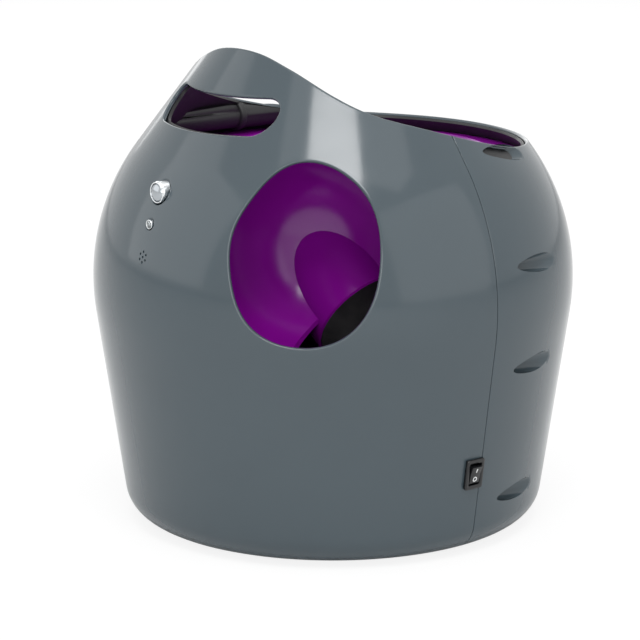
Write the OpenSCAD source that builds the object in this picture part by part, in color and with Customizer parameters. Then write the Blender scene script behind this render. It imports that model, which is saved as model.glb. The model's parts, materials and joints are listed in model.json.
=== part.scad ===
// Automatic ball launcher for dogs: a round two-part housing with an open
// hopper in its top, a carrying handle, a launch opening on its front right
// and a spring-driven striker inside that is cocked by a geared motor.
// +Z is up, the front is -Y, the origin is on the floor at the centre.

/* [Body] */
// Widest diameter of the housing, at its belly
belly_d = 330; // [318:1:396]
// Height of the belly above the floor
belly_z = 168; // [164:1:200]
// Radius of the side's curve around the belly
side_r = 152; // [140:1:168]
// Lean of the crown from upright, in degrees
crown_lean = 37; // [36:0.5:38]
// Lean of the lower side from upright, in degrees
skirt_lean = 8.3; // [7:0.1:9]
// Radius of the rounded bottom edge
bottom_r = 22; // [18:1:26]
// Wall of the two housing shells
wall = 3; // [2.5:0.1:3.6]
// Gap between the two shells at the seam
seam_gap = 0.3; // [0.2:0.1:0.6]
// Height of the top of the carrying handle
handle_top = 331; // [320:1:338]
// Height of the rim at the back of the hopper
rim_back = 261; // [256:1:266]

/* [Launch opening] */
// Direction that the opening faces, in degrees from the front
window_turn = 43.5; // [40:0.5:46]
// Width of the opening
window_w = 97; // [92:1:100]
// Height of the opening
window_h = 114; // [106:1:116]
// Height of the opening's centre
window_z = 211; // [208:1:214]
// Inner radius of the bowl behind the opening
bay_r = 72; // [70:1:74]

/* [Handle slot] */
// Width of the finger slot
slot_w = 112; // [100:1:122]
// Height of the finger slot
slot_h = 23; // [20:1:26]
// Height of the slot's centre
slot_z = 291; // [288:0.5:292]
// How far the ends of the slot sit above its middle
slot_bow = 1; // [0:0.5:4]

/* [Hopper] */
// Height of the hopper's deck
deck_z = 250; // [248:0.5:252]
// Diameter of the ball that it throws
ball_d = 67; // [62:0.5:68]
// Clearance of the ball in the feed chute
ball_gap = 3.5; // [2:0.5:4]
// Slope of the feed chute, in degrees
chute_slope = 35; // [33:0.5:37]

/* [Launcher] */
// Launch angle above level, in degrees
launch_angle = 38.5; // [36:0.5:40]
// Stroke of the striker
stroke = 36; // [28:1:38]
// Diameter of the striker's shaft
striker_d = 10; // [8:0.5:11]
// Outer diameter of the launch spring
spring_d = 22; // [18:0.5:24]
// Wire of the launch spring
spring_wire = 2.4; // [1.6:0.2:2.8]
// Turns of the launch spring
spring_turns = 9; // [6:1:12]
// Diameter of the shaft that the launcher tilts on
tilt_shaft_d = 8; // [6:0.5:9]
// Diameter of the drive motor
motor_d = 24; // [20:0.5:26]
// Length of the drive motor
motor_l = 32; // [24:1:36]

/* [Batteries] */
// Diameter of a D cell
cell_d = 34.2; // [33:0.1:34.4]
// Length of a D cell
cell_l = 61.5; // [58:0.1:61.7]

/* [Controls] */
// Width of the power switch's frame
switch_w = 15; // [13:0.5:16]
// Height of the power switch's frame
switch_h = 21; // [18:0.5:24]
// Diameter of the angle knob
knob_d = 32; // [24:1:34]
// Diameter of the distance dial
dial_d = 30; // [22:1:32]
// Diameter of the play button
button_d = 18; // [14:1:20]

/* [Feet] */
// How far the rubber feet stand below the housing
foot_h = 2; // [1.5:0.5:3]
// Diameter of a foot
foot_d = 18; // [14:1:20]

/* [Hidden] */
$fn = 64;
fit = 0.06;            // running clearance of a shaft in a bore, on the radius
clear = 0.3;           // clearance between pieces that don't touch
far = 400;
belly_r = belly_d / 2;
arc_x = belly_r - side_r;

// Side of the housing, moved inwards by `in`: skirt, belly arc and crown.
function crown_start(in) = [arc_x + (side_r - in) * cos(crown_lean),
                            belly_z + (side_r - in) * sin(crown_lean)];
function skirt_start(in) = [arc_x + (side_r - in) * cos(skirt_lean),
                            belly_z - (side_r - in) * sin(skirt_lean)];
corner_z = foot_h + bottom_r;
corner_x = skirt_start(0)[0] - (skirt_start(0)[1] - corner_z) * tan(skirt_lean)
           - bottom_r / cos(skirt_lean);
function side_points(in) = concat(
    [for (i = [0:7]) let (a = -90 + i * (90 - skirt_lean) / 7)
        [corner_x + (bottom_r - in) * cos(a), corner_z + (bottom_r - in) * sin(a)]],
    [for (i = [0:12]) let (a = -skirt_lean + i * (crown_lean + skirt_lean) / 12)
        [arc_x + (side_r - in) * cos(a), belly_z + (side_r - in) * sin(a)]]);
top_z = handle_top + 6;
function crown_x(in, z) = crown_start(in)[0] - (z - crown_start(in)[1]) * tan(crown_lean);
// Radius of the outside at height z
function side_x(z) =
    z > crown_start(0)[1] ? crown_x(0, z) :
    z > skirt_start(0)[1] ? arc_x + sqrt(side_r * side_r - (z - belly_z) * (z - belly_z)) :
    z > corner_z ? skirt_start(0)[0] - (skirt_start(0)[1] - z) * tan(skirt_lean) :
    corner_x + sqrt(bottom_r * bottom_r - (z - corner_z) * (z - corner_z));

// Rim of the hopper and the handle, as seen from the side
rim_points = [[150, rim_back], [132, rim_back], [100, rim_back + 0.7], [60, rim_back + 4],
              [20, rim_back + 12.5], [-20, rim_back + 24], [-48, rim_back + 33.5],
              [-64, handle_top - 25], [-75, handle_top - 10], [-80, handle_top - 1],
              [-86, handle_top + 4], [-96, handle_top + 6]];
function curve_at(p, i, t) = let (a = p[i - 1], b = p[i], c = p[i + 1], d = p[i + 2])
    0.5 * (2 * b + (c - a) * t + (2 * a - 5 * b + 4 * c - d) * t * t
           + (3 * b - a - 3 * c + d) * t * t * t);
function curve(p, steps) = [for (i = [1:len(p) - 3]) for (k = [0:steps - 1])
    curve_at(p, i, k / steps)];

// Launch opening: an ellipse that is fuller below and to its upper right
function window_radius(a) =
    1 / sqrt(pow(cos(a) / (window_w / 2), 2) + pow(sin(a) / (window_h / 2), 2))
    * (1 + pow(sin(2 * a), 2) * (0.013 - 0.044 * sin(a) + 0.021 * cos(a) + 0.021 * sin(2 * a)));
window_side = [sin(window_turn), -cos(window_turn), 0];

// Bowl behind the opening
bay_wall = 2.5;
bay_in = 128;
bay_centre = bay_in * window_side + [0, 0, window_z - 1];

// Ball seat, chute and launcher frame
chute_ri = ball_d / 2 + ball_gap;
chute_wall = 2.5;
chute_ro = chute_ri + chute_wall;
// the ball at the elbow is a little wider than the tubes it joins
elbow_swell = 0.15;
seat = [102, -20, 123];
chute_down = [cos(chute_slope), 0, -sin(chute_slope)];
mouth_gap = 50;
mouth = seat - mouth_gap * chute_down;
chute_l = 80;
elbow = mouth - chute_l * chute_down;
funnel_top = [-16, 32];
funnel_r = 94;
deck_t = 2.5;
outlet_z = 224;

// Shell screws: their heads sit in scoops in the rear shell
scoop_z = [37, 127, 194.5, 263.2];
scoop_r = 6;
scoop_sink = 7.3;
scoop_front = 16;
post_r = 8.8;
post_l = 22;
screw_r = 1.75;
function lean_at(z) = z > crown_start(0)[1] ? crown_lean :
    z > skirt_start(0)[1] ? asin((z - belly_z) / side_r) : -skirt_lean;
function scoop_x(z) = side_x(z) - scoop_sink / cos(lean_at(z));

// Base
flange_r = 112;
base_r = flange_r - clear;
base_t = 3;
base_top = foot_h + base_t;
ledge_r = flange_r + 6.5;
ledge_t = 2.8;
base_screw_r = flange_r + 3.5;
base_screw_turns = [20, 75, 130, 212, 255, 310];
foot_spots = [for (a = [20, 90, 160, 237, 303]) 97 * [cos(a), sin(a)]];
tub_x = cell_l + 3;
tub_shift = -5;
tub_y = [-35.5, -35.5 + 3 * cell_d + 4];
tub_t = 2.5;
tub_top = base_top + cell_d + 3.8;
hinge_y = tub_y[1] + tub_t + 3.4;
hinge_z = foot_h + 2.6;
hinge_pin_r = 1.25;
barrel_r = 2.3;
door_edge = 0.5;

// Launcher, in its own frame: -Y is the launch direction, the origin is the seat
trough_ri = ball_d / 2 + 1.7;
trough_t = 2.5;
trough_y = [-30, 34];
trough_top = -20;
head_y = [ball_d / 2 + 2.7, ball_d / 2 + 8.7];
pad_t = 2.2;
head_r = 16;
guide_y = [head_y[1] + stroke + 4.5 + spring_turns * 1, head_y[1] + stroke + 11.5 + spring_turns * 1];
plate_x = [14, 17];
rack_z = -24;
rack_w = 10;
m_big = 1.5;
m_small = 1;
cock_n = 30;
idler_small_n = 12;
idler_big_n = 40;
pinion_n = 10;
tooth_thin = 0.86;
cock_r = m_big * cock_n / 2;
cock_axis = [76, rack_z - cock_r];
idler_turn = 75;
idler_axis = cock_axis + m_big * (cock_n + idler_small_n) / 2 * [cos(idler_turn), sin(idler_turn)];
motor_turn = 85;
motor_axis = idler_axis
    + m_small * (idler_big_n + pinion_n) / 2 * [cos(motor_turn), sin(motor_turn)];
tilt_axis = [22, -50];
cheek_x = [22.5, 26.5];
drive_x = [-27, -20];
wheel_x = [-33, -28.2];
mount_x = [-36.5, -34];
cock_shaft_r = 3;
idler_pin_r = 2;
motor_shaft_r = 1.15;
bush_t = 1.2;

// Tilt shaft in the row frame
tilt_yz = [seat[1] + tilt_axis[0] * cos(launch_angle) + tilt_axis[1] * sin(launch_angle),
           seat[2] - tilt_axis[0] * sin(launch_angle) + tilt_axis[1] * cos(launch_angle)];
sector_n = 48;
sector_x = [-116, -109];
knob_pinion_n = 12;
knob_turn = 90;
knob_yz = tilt_yz + m_big * (sector_n + knob_pinion_n) / 2 * [cos(knob_turn), sin(knob_turn)];
stand_x = [-106, -102];
knob_shaft_r = 3;
knob_floor_x = -(side_x(knob_yz[1]) - 9);
knob_h = 12;

// Controls
switch_yz = [-switch_w / 2 + 0.9, 59.5];
switch_x = side_x(switch_yz[1]);
panel_z = [66, 104];
panel_x = 52;
panel_y = 143;
panel_t = 3;
dial_xz = [28, 85];
button_xz = [-28, 85];
button_travel = 2;
jack_xz = [0, 78];
sensor_z = 242;
sensor_r = 7.5;
led_z = 221.8;
led_r = 3;
speaker_z = 201;

housing_colour = "#5f676b";
purple = "#5d0b66";
black = "#1d1d20";

// ---- shapes that repeat ----

module body_of_revolution(in, low, high) {
    p = side_points(in);
    rotate_extrude($fn = 96)
        intersection() {
            polygon(concat([[0, p[0][1]]], p, [[crown_x(in, top_z), top_z], [0, top_z]]));
            translate([0, low]) square([far, high - low]);
        }
}

module shell_wall() {
    difference() {
        body_of_revolution(0, foot_h, top_z);
        body_of_revolution(wall, 0, top_z + 1);
    }
}

// Everything above the rim, lowered by `drop`
module above_rim(drop) {
    line = curve(rim_points, 3);
    translate([-far / 2, 0, -drop])
        rotate([90, 0, 90])
            linear_extrude(far)
                polygon(concat([[200, line[0][1]]], line,
                               [[-200, line[len(line) - 1][1]], [-200, 600], [200, 600]]));
}

module window_prism(grow) {
    rotate([0, 0, window_turn])
        translate([0, 0, window_z])
            rotate([90, 0, 0])
                linear_extrude(far)
                    polygon([for (i = [0:47]) let (a = i * 7.5)
                        (window_radius(a) + grow) * [cos(a), sin(a)] + [-1, 0]]);
}

// Finger slot: round ends and a slightly bowed middle line
function slot_turn(t) = atan(2 * slot_bow * t / (slot_w / 2 - slot_h / 2));
function slot_at(t, r, a) =
    [t * (slot_w / 2 - slot_h / 2) + r * cos(a), slot_bow * t * t + r * sin(a)];

module slot_prism(grow) {
    r = slot_h / 2 + grow;
    translate([0, 0, slot_z])
        rotate([90, 0, 0])
            linear_extrude(far)
                polygon(concat(
                    [for (i = [-6:6]) slot_at(i / 6, r, slot_turn(i / 6) - 90)],
                    [for (k = [1:11]) slot_at(1, r, slot_turn(1) - 90 + k * 15)],
                    [for (i = [6:-1:-6]) slot_at(i / 6, r, slot_turn(i / 6) + 90)],
                    [for (k = [1:11]) slot_at(-1, r, slot_turn(-1) + 90 + k * 15)]));
}

// Along X, with a flat outline given in Y and Z
module along_x(x, l) {
    translate([x, 0, 0]) rotate([90, 0, 90]) linear_extrude(l) children();
}

module rod_x(x, l, r, at = [0, 0]) {
    translate([x, at[0], at[1]]) rotate([0, 90, 0]) cylinder(h = l, r = r);
}

module rod_y(y, l, r, at = [0, 0]) {
    translate([at[0], y, at[1]]) rotate([-90, 0, 0]) cylinder(h = l, r = r);
}

module in_launcher() {
    translate(seat) rotate([-launch_angle, 0, 0]) children();
}

module along_chute() {
    translate(seat) rotate([0, -90 + chute_slope, 0]) children();
}

// Involute spur gear outline, with a tooth at angle `first`
function inv(a) = tan(a) * 180 / PI - a;
function tooth_half(r, m, n) = let (rb = m * n / 2 * cos(20))
    90 / n * tooth_thin + inv(20) - inv(acos(min(1, rb / r)));
function flank(m, n) = let (rp = m * n / 2, rb = rp * cos(20), low = max(rb, rp - 1.2 * m))
    [for (r = [low, (low + rp) / 2, rp, rp + 0.5 * m, rp + 0.95 * m]) [r, tooth_half(r, m, n)]];
function gear_points(m, n, first, teeth) = let (f = flank(m, n), root = m * n / 2 - 1.25 * m)
    [for (i = [0:teeth - 1]) let (a = first + i * 360 / n) each concat(
        [root * [cos(a - f[0][1] - 0.3), sin(a - f[0][1] - 0.3)]],
        [for (k = [0:4]) f[k][0] * [cos(a - f[k][1]), sin(a - f[k][1])]],
        [for (k = [4:-1:0]) f[k][0] * [cos(a + f[k][1]), sin(a + f[k][1])]],
        [root * [cos(a + f[0][1] + 0.3), sin(a + f[0][1] + 0.3)]])];

module gear(m, n, first, x, l, bore) {
    difference() {
        along_x(x, l) polygon(gear_points(m, n, first, n));
        rod_x(x - 1, l + 2, bore);
    }
}

module scoops(r, from, side = 0) {
    for (z = scoop_z) for (s = side == 0 ? [-1, 1] : [side])
        rod_y(from, 90, r, [s * scoop_x(z), z]);
}

// ---- housing ----

module front_shell() {
    color(housing_colour) difference() {
        union() {
            shell_wall();
            intersection() {
                body_of_revolution(0.02, foot_h, top_z);
                for (z = scoop_z) for (s = [-1, 1])
                    rod_y(-post_l, post_l + 5, post_r, [s * scoop_x(z), z]);
            }
            intersection() {
                body_of_revolution(0.02, foot_h, top_z);
                rod_x(knob_floor_x, wall, knob_d / 2 + 6, knob_yz);
            }
            intersection() {
                body_of_revolution(0.02, foot_h, top_z);
                difference() {
                    rod_x(knob_floor_x - 40, 40, knob_d / 2 + 6, knob_yz);
                    rod_x(knob_floor_x - 41, 42, knob_d / 2 + 3, knob_yz);
                }
            }
        }
        translate([-far / 2, -seam_gap / 2, -1]) cube([far, far, far]);
        above_rim(0);
        window_prism(0);
        slot_prism(0);
        for (z = scoop_z) for (s = [-1, 1])
            rod_y(-post_l + 3, post_l, 1.5, [s * scoop_x(z), z]);
        translate([0, 0, foot_h - 1]) cylinder(h = base_t + 1, r = flange_r);
        base_screw_spots() cylinder(h = 20, r = screw_r, center = true);
        rod_x(-far, far + knob_floor_x, knob_d / 2 + 3, knob_yz);
        rod_x(-far, far - 20, knob_shaft_r + clear, knob_yz);
        switch_frame() translate([-30, -switch_w / 2 + 1, -switch_h / 2 + 1])
            cube([60, switch_w, switch_h - 2]);
        rod_y(-far, far - 20, sensor_r + clear, [0, sensor_z]);
        rod_y(-far, far - 20, led_r + 1 + clear, [0, led_z]);
        speaker_holes();
    }
}

module speaker_holes() {
    for (i = [0:6])
        rod_y(-far, far - 20, 0.6, [0, speaker_z]
              + (i == 0 ? [0, 0] : 3.4 * [cos(i * 60), sin(i * 60)]), $fn = 16);
}

module rear_shell() {
    color(housing_colour) difference() {
        union() {
            shell_wall();
            intersection() {
                body_of_revolution(0.02, foot_h, top_z);
                union() {
                    scoops(post_r, 0);
                    panel_block(3, panel_y - panel_t);
                }
            }
        }
        translate([-far / 2, seam_gap / 2 - far, -1]) cube([far, far, far]);
        above_rim(0);
        scoops(scoop_r, scoop_front);
        scoops(screw_r, -1);
        panel_block(0, panel_y - panel_t - 1);
        translate([0, 0, foot_h - 1]) cylinder(h = base_t + 1, r = flange_r);
        base_screw_spots() cylinder(h = 20, r = screw_r, center = true);
    }
}

module panel_block(grow, y) {
    translate([-panel_x - grow, y, panel_z[0] - grow])
        cube([2 * (panel_x + grow), 60, panel_z[1] - panel_z[0] + 2 * grow]);
}

module base_screw_spots() {
    for (a = base_screw_turns)
        translate([base_screw_r * cos(a), base_screw_r * sin(a), foot_h]) children();
}

module shell_screws() {
    color("silver") for (z = scoop_z) for (s = [-1, 1]) {
        rod_y(-12, 12 + scoop_front, 1.45, [s * scoop_x(z), z]);
        difference() {
            rod_y(scoop_front, 2.4, 3.4, [s * scoop_x(z), z]);
            rod_y(scoop_front + 1.2, 2, 1, [s * scoop_x(z), z], $fn = 6);
        }
    }
}

// ---- hopper ----

module hopper_collar() {
    gap = wall + 0.4;
    color(black) difference() {
        union() {
            difference() {
                body_of_revolution(gap, deck_z + clear, top_z);
                body_of_revolution(gap + 2, deck_z, top_z + 1);
            }
            intersection() {
                body_of_revolution(gap, deck_z + clear, top_z);
                for (s = [-1, 1]) {
                    rod_y(-46, 92, post_r + 2.5, [s * scoop_x(scoop_z[3]), scoop_z[3]]);
                    rod_y(-19, 4, post_r + 3.7, [s * scoop_x(scoop_z[3]), scoop_z[3]]);
                }
            }
        }
        above_rim(2.6);
        slot_prism(0.5);
        window_prism(3);
        rod_y(-post_l - clear, 140, post_r + clear, [scoop_x(scoop_z[3]), scoop_z[3]]);
        rod_y(-post_l - clear, 140, post_r + clear, [-scoop_x(scoop_z[3]), scoop_z[3]]);
        translate(bay_centre) sphere(bay_r + bay_wall + 1);
    }
}

module funnel(grow) {
    hull() {
        translate([funnel_top[0], funnel_top[1], deck_z - 0.01 + (grow > 0 ? 0 : 1)])
            cylinder(h = 0.01, r = funnel_r + grow);
        translate([elbow[0], elbow[1], outlet_z]) cylinder(h = 0.01, r = chute_ri + grow);
    }
}

module hopper_bowl() {
    color(purple) difference() {
        union() {
            body_of_revolution(wall + 0.5, deck_z - deck_t, deck_z);
            funnel(deck_t);
        }
        funnel(0);
        translate([elbow[0], elbow[1], outlet_z - 1]) cylinder(h = 2, r = chute_ri);
        translate(bay_centre) sphere(bay_r + bay_wall + clear);
        rod_y(-far, far - 120, sensor_r + 1, [0, sensor_z]);
    }
}

module feed_chute() {
    color(purple) difference() {
        union() {
            along_chute() translate([0, 0, mouth_gap]) cylinder(h = chute_l, r = chute_ro);
            translate(elbow) sphere(chute_ro + elbow_swell);
            translate(elbow) cylinder(h = outlet_z - elbow[2] - clear, r = chute_ro);
        }
        along_chute() translate([0, 0, mouth_gap - 1]) cylinder(h = chute_l + 1, r = chute_ri);
        translate(elbow) sphere(chute_ri + elbow_swell);
        translate(elbow) cylinder(h = 60, r = chute_ri);
    }
}

module launch_bay() {
    color(purple) difference() {
        intersection() {
            body_of_revolution(wall + clear, foot_h, top_z);
            translate(bay_centre) sphere(bay_r + bay_wall);
        }
        translate(bay_centre) sphere(bay_r);
        along_chute() translate([0, 0, -10]) cylinder(h = 160, r = chute_ro + clear);
        translate(elbow) cylinder(h = 60, r = chute_ro + clear);
        in_launcher() rod_y(-70, 80, 46);
        above_rim(4);
    }
}

// ---- base and batteries ----

module base_plate() {
    color(black) difference() {
        union() {
            translate([0, 0, foot_h]) cylinder(h = base_t, r = base_r);
            translate([0, 0, base_top + 0.2]) cylinder(h = ledge_t, r = ledge_r);
            translate([0, 0, base_top - 0.1]) cylinder(h = 1, r = base_r);
            translate([tub_shift - tub_x - tub_t, tub_y[0] - tub_t, base_top])
                cube([2 * (tub_x + tub_t), tub_y[1] - tub_y[0] + 2 * tub_t, tub_top - base_top]);
            base_screw_spots() translate([0, 0, base_t + 0.2]) cylinder(h = 10, r = 3.2);
        }
        translate([tub_shift - tub_x, tub_y[0], foot_h - 1])
            cube([2 * tub_x, tub_y[1] - tub_y[0], tub_top - tub_t - foot_h + 1]);
        translate([tub_shift - tub_x, tub_y[0], foot_h - 1])
            cube([2 * tub_x, hinge_y + 3.2 - tub_y[0], base_t + 1]);
        translate([tub_shift - tub_x, tub_y[1] + tub_t + 0.01, foot_h - 1])
            cube([2 * tub_x, hinge_y + 3.2 - tub_y[1] - tub_t, 20]);
        for (p = foot_spots) translate([p[0], p[1], foot_h - 1]) cylinder(h = 12, r = 3);
        base_screw_spots() translate([0, 0, -1]) cylinder(h = 12, r = 1.5);
    }
    color(black) door_ears();
    color(black) difference() {
        door_screw_spot() translate([0, 0, base_top]) cylinder(h = 6.5, r = 3.6);
        door_screw_spot() translate([0, 0, base_top - 1]) cylinder(h = 8, r = 2.5);
    }
}

module door_ears() {
    difference() {
        for (s = [-1, 1]) translate([tub_shift + s * (tub_x - 4) - 3, tub_y[1] + tub_t,
                                     foot_h + 1.2])
            cube([6, hinge_y + 1.8 - tub_y[1] - tub_t, 9]);
        rod_x(-far / 2, far, hinge_pin_r, [hinge_y, hinge_z]);
    }
}

module door_screw_spot() {
    translate([tub_shift, tub_y[0] + 3, 0]) children();
}

module base_screws() {
    color("silver") base_screw_spots() {
        difference() {
            translate([0, 0, -0.01 - 1.4]) cylinder(h = 1.4, r = 3);
            translate([0, 0, -2]) cylinder(h = 1.3, r = 0.9, $fn = 6);
        }
        translate([0, 0, -0.01]) cylinder(h = 10.5, r = 1.45);
    }
}

module rubber_feet() {
    color("#222222") for (p = foot_spots) translate([p[0], p[1], 0]) {
        cylinder(h = foot_h, r = foot_d / 2);
        cylinder(h = foot_h + base_t + ledge_t + 1, r = 2.9);
    }
}

module battery_door() {
    color(black) difference() {
        union() {
            translate([tub_shift - tub_x + door_edge, tub_y[0] + door_edge, foot_h + 0.2])
                cube([2 * (tub_x - door_edge), hinge_y - tub_y[0] - door_edge, 2.2]);
            rod_x(tub_shift - tub_x + 8.5, 2 * (tub_x - 8.5), barrel_r, [hinge_y, hinge_z]);
            for (i = [-2:2]) translate([tub_shift + i * 24 - 1, tub_y[0] + 12, foot_h + 2.4])
                cube([2, tub_y[1] - tub_y[0] - 26, 1.2]);
        }
        rod_x(-far / 2, far, hinge_pin_r + fit, [hinge_y, hinge_z]);
        for (s = [-1, 1]) translate([tub_shift + s * (tub_x - 4) - 4.2, hinge_y - 9, foot_h - 1])
            cube([8.4, 20, 10]);
        door_screw_spot() cylinder(h = 20, r = 1.42);
    }
}

module door_pin() {
    color("silver") rod_x(tub_shift - tub_x + 0.5, 2 * tub_x - 1, hinge_pin_r - 0.02, [hinge_y, hinge_z]);
}

module door_screw() {
    color("silver") door_screw_spot() {
        difference() {
            translate([0, 0, foot_h - 1.4]) cylinder(h = 1.6, r = 2.8);
            translate([-5, -0.6, foot_h - 2]) cube([10, 1.2, 1.3]);
        }
        translate([0, 0, foot_h]) cylinder(h = 8, r = 1.4);
    }
}

module battery_contacts() {
    pitch = cell_d + 0.4;
    rows = [for (i = [0:2]) tub_y[0] + 2 + cell_d / 2 + i * pitch];
    z = base_top + 1 + cell_d / 2;
    color("silver") for (y = rows) for (s = [-1, 1]) {
        translate([tub_shift + s * (tub_x - 0.4) - 0.3, y - 11, z - 11]) cube([0.6, 22, 22]);
        translate([tub_shift + s * (tub_x - 1.4), y, z]) rotate([0, 90, 0])
            difference() {
                cylinder(h = 1.6, r = 5, center = true);
                cylinder(h = 2, r = 3, center = true);
            }
    }
}

// ---- launcher ----

module launcher_bracket() {
    y = [tilt_yz[0] - 8, tilt_yz[0] + 8];
    color(black) difference() {
        union() {
            for (s = [-1, 1]) {
                x = seat[0] + (s < 0 ? -cheek_x[1] : cheek_x[0]);
                translate([x, y[0], 16]) cube([cheek_x[1] - cheek_x[0], y[1] - y[0],
                                               tilt_yz[1] - 16]);
                rod_x(x, cheek_x[1] - cheek_x[0], 8, tilt_yz);
            }
            translate([seat[0] - cheek_x[1], y[0], 16])
                cube([2 * cheek_x[1], y[1] - y[0], 3]);
            translate([seat[0] - cheek_x[1], y[0], base_top + 0.2 + ledge_t])
                cube([24, y[1] - y[0], 12]);
        }
        rod_x(0, far, tilt_shaft_d / 2 + bush_t, tilt_yz);
        translate([seat[0] - cheek_x[1] + 12, tilt_yz[0], 0]) cylinder(h = 40, r = 1.6);
    }
}

module tilt_bushes() {
    color("#b08d57") difference() {
        for (x = [seat[0] - cheek_x[1], seat[0] + cheek_x[0]])
            rod_x(x, cheek_x[1] - cheek_x[0], tilt_shaft_d / 2 + bush_t - 0.01, tilt_yz);
        rod_x(0, far, tilt_shaft_d / 2 + fit, tilt_yz);
    }
}

module trough() {
    difference() {
        rod_y(trough_y[0], trough_y[1] - trough_y[0], trough_ri + trough_t);
        rod_y(trough_y[0] - 1, trough_y[1] - trough_y[0] + 2, trough_ri);
        translate([-60, trough_y[0] - 1, trough_top]) cube([120, 80, 80]);
    }
}

plate_outline = [[6, -36.5], [6, -59], [32, -59], [50, -66], [guide_y[1] - 14, -66],
                 [guide_y[1], -52], [guide_y[1], 14], [guide_y[0] - 2, 14], [78, -12], [34, -17],
                 [34, -36.5]];

module launcher_frame() {
    color(black) in_launcher() difference() {
        union() {
            trough();
            for (x = [-plate_x[1], plate_x[0]])
                along_x(x, plate_x[1] - plate_x[0]) polygon(plate_outline);
            translate([-plate_x[1], guide_y[0], rack_z + 6.5])
                cube([2 * plate_x[1], guide_y[1] - guide_y[0], 7.5 - rack_z]);
            translate([-plate_x[1], 10, -59]) cube([2 * plate_x[1], 22, 3]);
            rod_x(-cheek_x[0] + clear, 2 * (cheek_x[0] - clear), 8.5, tilt_axis);
        }
        rod_y(trough_y[0] - 1, 40 + trough_y[1], trough_ri);
        rod_x(-50, 100, tilt_shaft_d / 2, tilt_axis);
        rod_x(-50, 100, cock_shaft_r + fit, cock_axis);
        rod_x(-50, 45, idler_pin_r, idler_axis);
        rod_y(guide_y[0] - 1, 20, striker_d / 2 + fit);
    }
}

module tilt_shaft() {
    color("silver") rod_x(sector_x[0] - 2, seat[0] + cheek_x[1] + 2 - sector_x[0] + 2,
                          tilt_shaft_d / 2 - 0.01, tilt_yz);
}

// Quadrant on the tilt shaft, with a gap between teeth towards the knob's pinion
module tilt_sector() {
    teeth = 9;
    first = knob_turn - (teeth - 1) / 2 * 360 / sector_n + 180 / sector_n;
    color("#d8d8d0") translate([0, tilt_yz[0], tilt_yz[1]]) difference() {
        along_x(sector_x[0], sector_x[1] - sector_x[0]) union() {
            polygon(concat([[0, 0]], gear_points(m_big, sector_n, first, teeth)));
            circle(9);
        }
        rod_x(sector_x[0] - 1, 20, tilt_shaft_d / 2);
    }
}

module striker() {
    rack_y = [head_y[1] - 6, head_y[1] + stroke + 10];
    color("#c9c9c4") in_launcher() {
        rod_y(head_y[0], head_y[1] - head_y[0], head_r);
        rod_y(head_y[1] - 1, guide_y[1] + 2 - head_y[1], striker_d / 2);
        translate([-rack_w / 2, rack_y[0], rack_z + 1.25 * m_big])
            cube([rack_w, rack_y[1] - rack_y[0], 4]);
        translate([-rack_w / 2, head_y[0], rack_z + 1.25 * m_big + 1])
            cube([rack_w, 6, -rack_z - 8]);
        rack_teeth(rack_y);
    }
}

module rack_teeth(y) {
    pitch = PI * m_big;
    n = floor((y[1] - cock_axis[0]) / pitch - 0.5);
    low = -floor((cock_axis[0] - y[0]) / pitch - 0.5);
    half = pitch / 4 * tooth_thin;
    run = tan(20) * m_big;
    for (i = [low:n]) translate([0, cock_axis[0] + (i + 0.5) * pitch, 0])
        along_x(-rack_w / 2 + 1, rack_w - 2)
            polygon([[-half - run * 1.25, rack_z + 1.3 * m_big], [-half, rack_z],
                     [-half + run * 0.9, rack_z - 0.9 * m_big],
                     [half - run * 0.9, rack_z - 0.9 * m_big], [half, rack_z],
                     [half + run * 1.25, rack_z + 1.3 * m_big]]);
}

module striker_pad() {
    color("#222222") in_launcher() rod_y(head_y[0] - pad_t, pad_t, head_r - 1.5);
}

// Compression spring between the striker's head and the guide, one open helix
module launch_spring() {
    rings = 8 * spring_turns;
    y0 = head_y[1] + spring_wire / 2 + 0.1;
    y1 = guide_y[0] - spring_wire / 2 - 0.1;
    r = (spring_d - spring_wire) / 2;
    sides = 6;
    points = [for (i = [0:rings]) for (k = [0:sides - 1]) let (
        a = i * 45, b = k * 60,
        q = r + spring_wire / 2 * cos(b))
        [q * cos(a), y0 + (y1 - y0) * i / rings + spring_wire / 2 * sin(b), q * sin(a)]];
    faces = concat(
        [for (k = [1:sides - 2]) [0, k, k + 1]],
        [for (i = [0:rings - 1]) for (k = [0:sides - 1]) let (
            a = i * sides + k, b = i * sides + (k + 1) % sides)
            each [[a, a + sides, b], [b, a + sides, b + sides]]],
        [for (k = [1:sides - 2]) let (e = rings * sides) [e, e + k + 1, e + k]]);
    gap = (y1 - y0) / spring_turns - spring_wire;
    echo(spring_gap_mm = gap);
    color("silver") in_launcher() polyhedron(points, faces);
}

// The cocking gear has a stretch with no teeth, where it lets the striker go
module cocking_gear() {
    first = 90 - 360 / cock_n * 3;
    color("#d8d8d0") in_launcher() translate([0, cock_axis[0], cock_axis[1]]) difference() {
        along_x(-4, 8) union() {
            polygon(concat([[0, 0]], gear_points(m_big, cock_n, first, 14)));
            circle(cock_r - 1.25 * m_big);
        }
        rod_x(-10, 20, cock_shaft_r);
    }
}

module cocking_shaft() {
    color("silver") in_launcher()
        rod_x(mount_x[0] + 0.5, plate_x[1] + 1 - mount_x[0], cock_shaft_r - 0.01, cock_axis);
}

module drive_gear() {
    color("#d8d8d0") in_launcher() translate([0, cock_axis[0], cock_axis[1]])
        gear(m_big, cock_n, idler_turn, drive_x[0], drive_x[1] - drive_x[0], cock_shaft_r);
}

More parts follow.
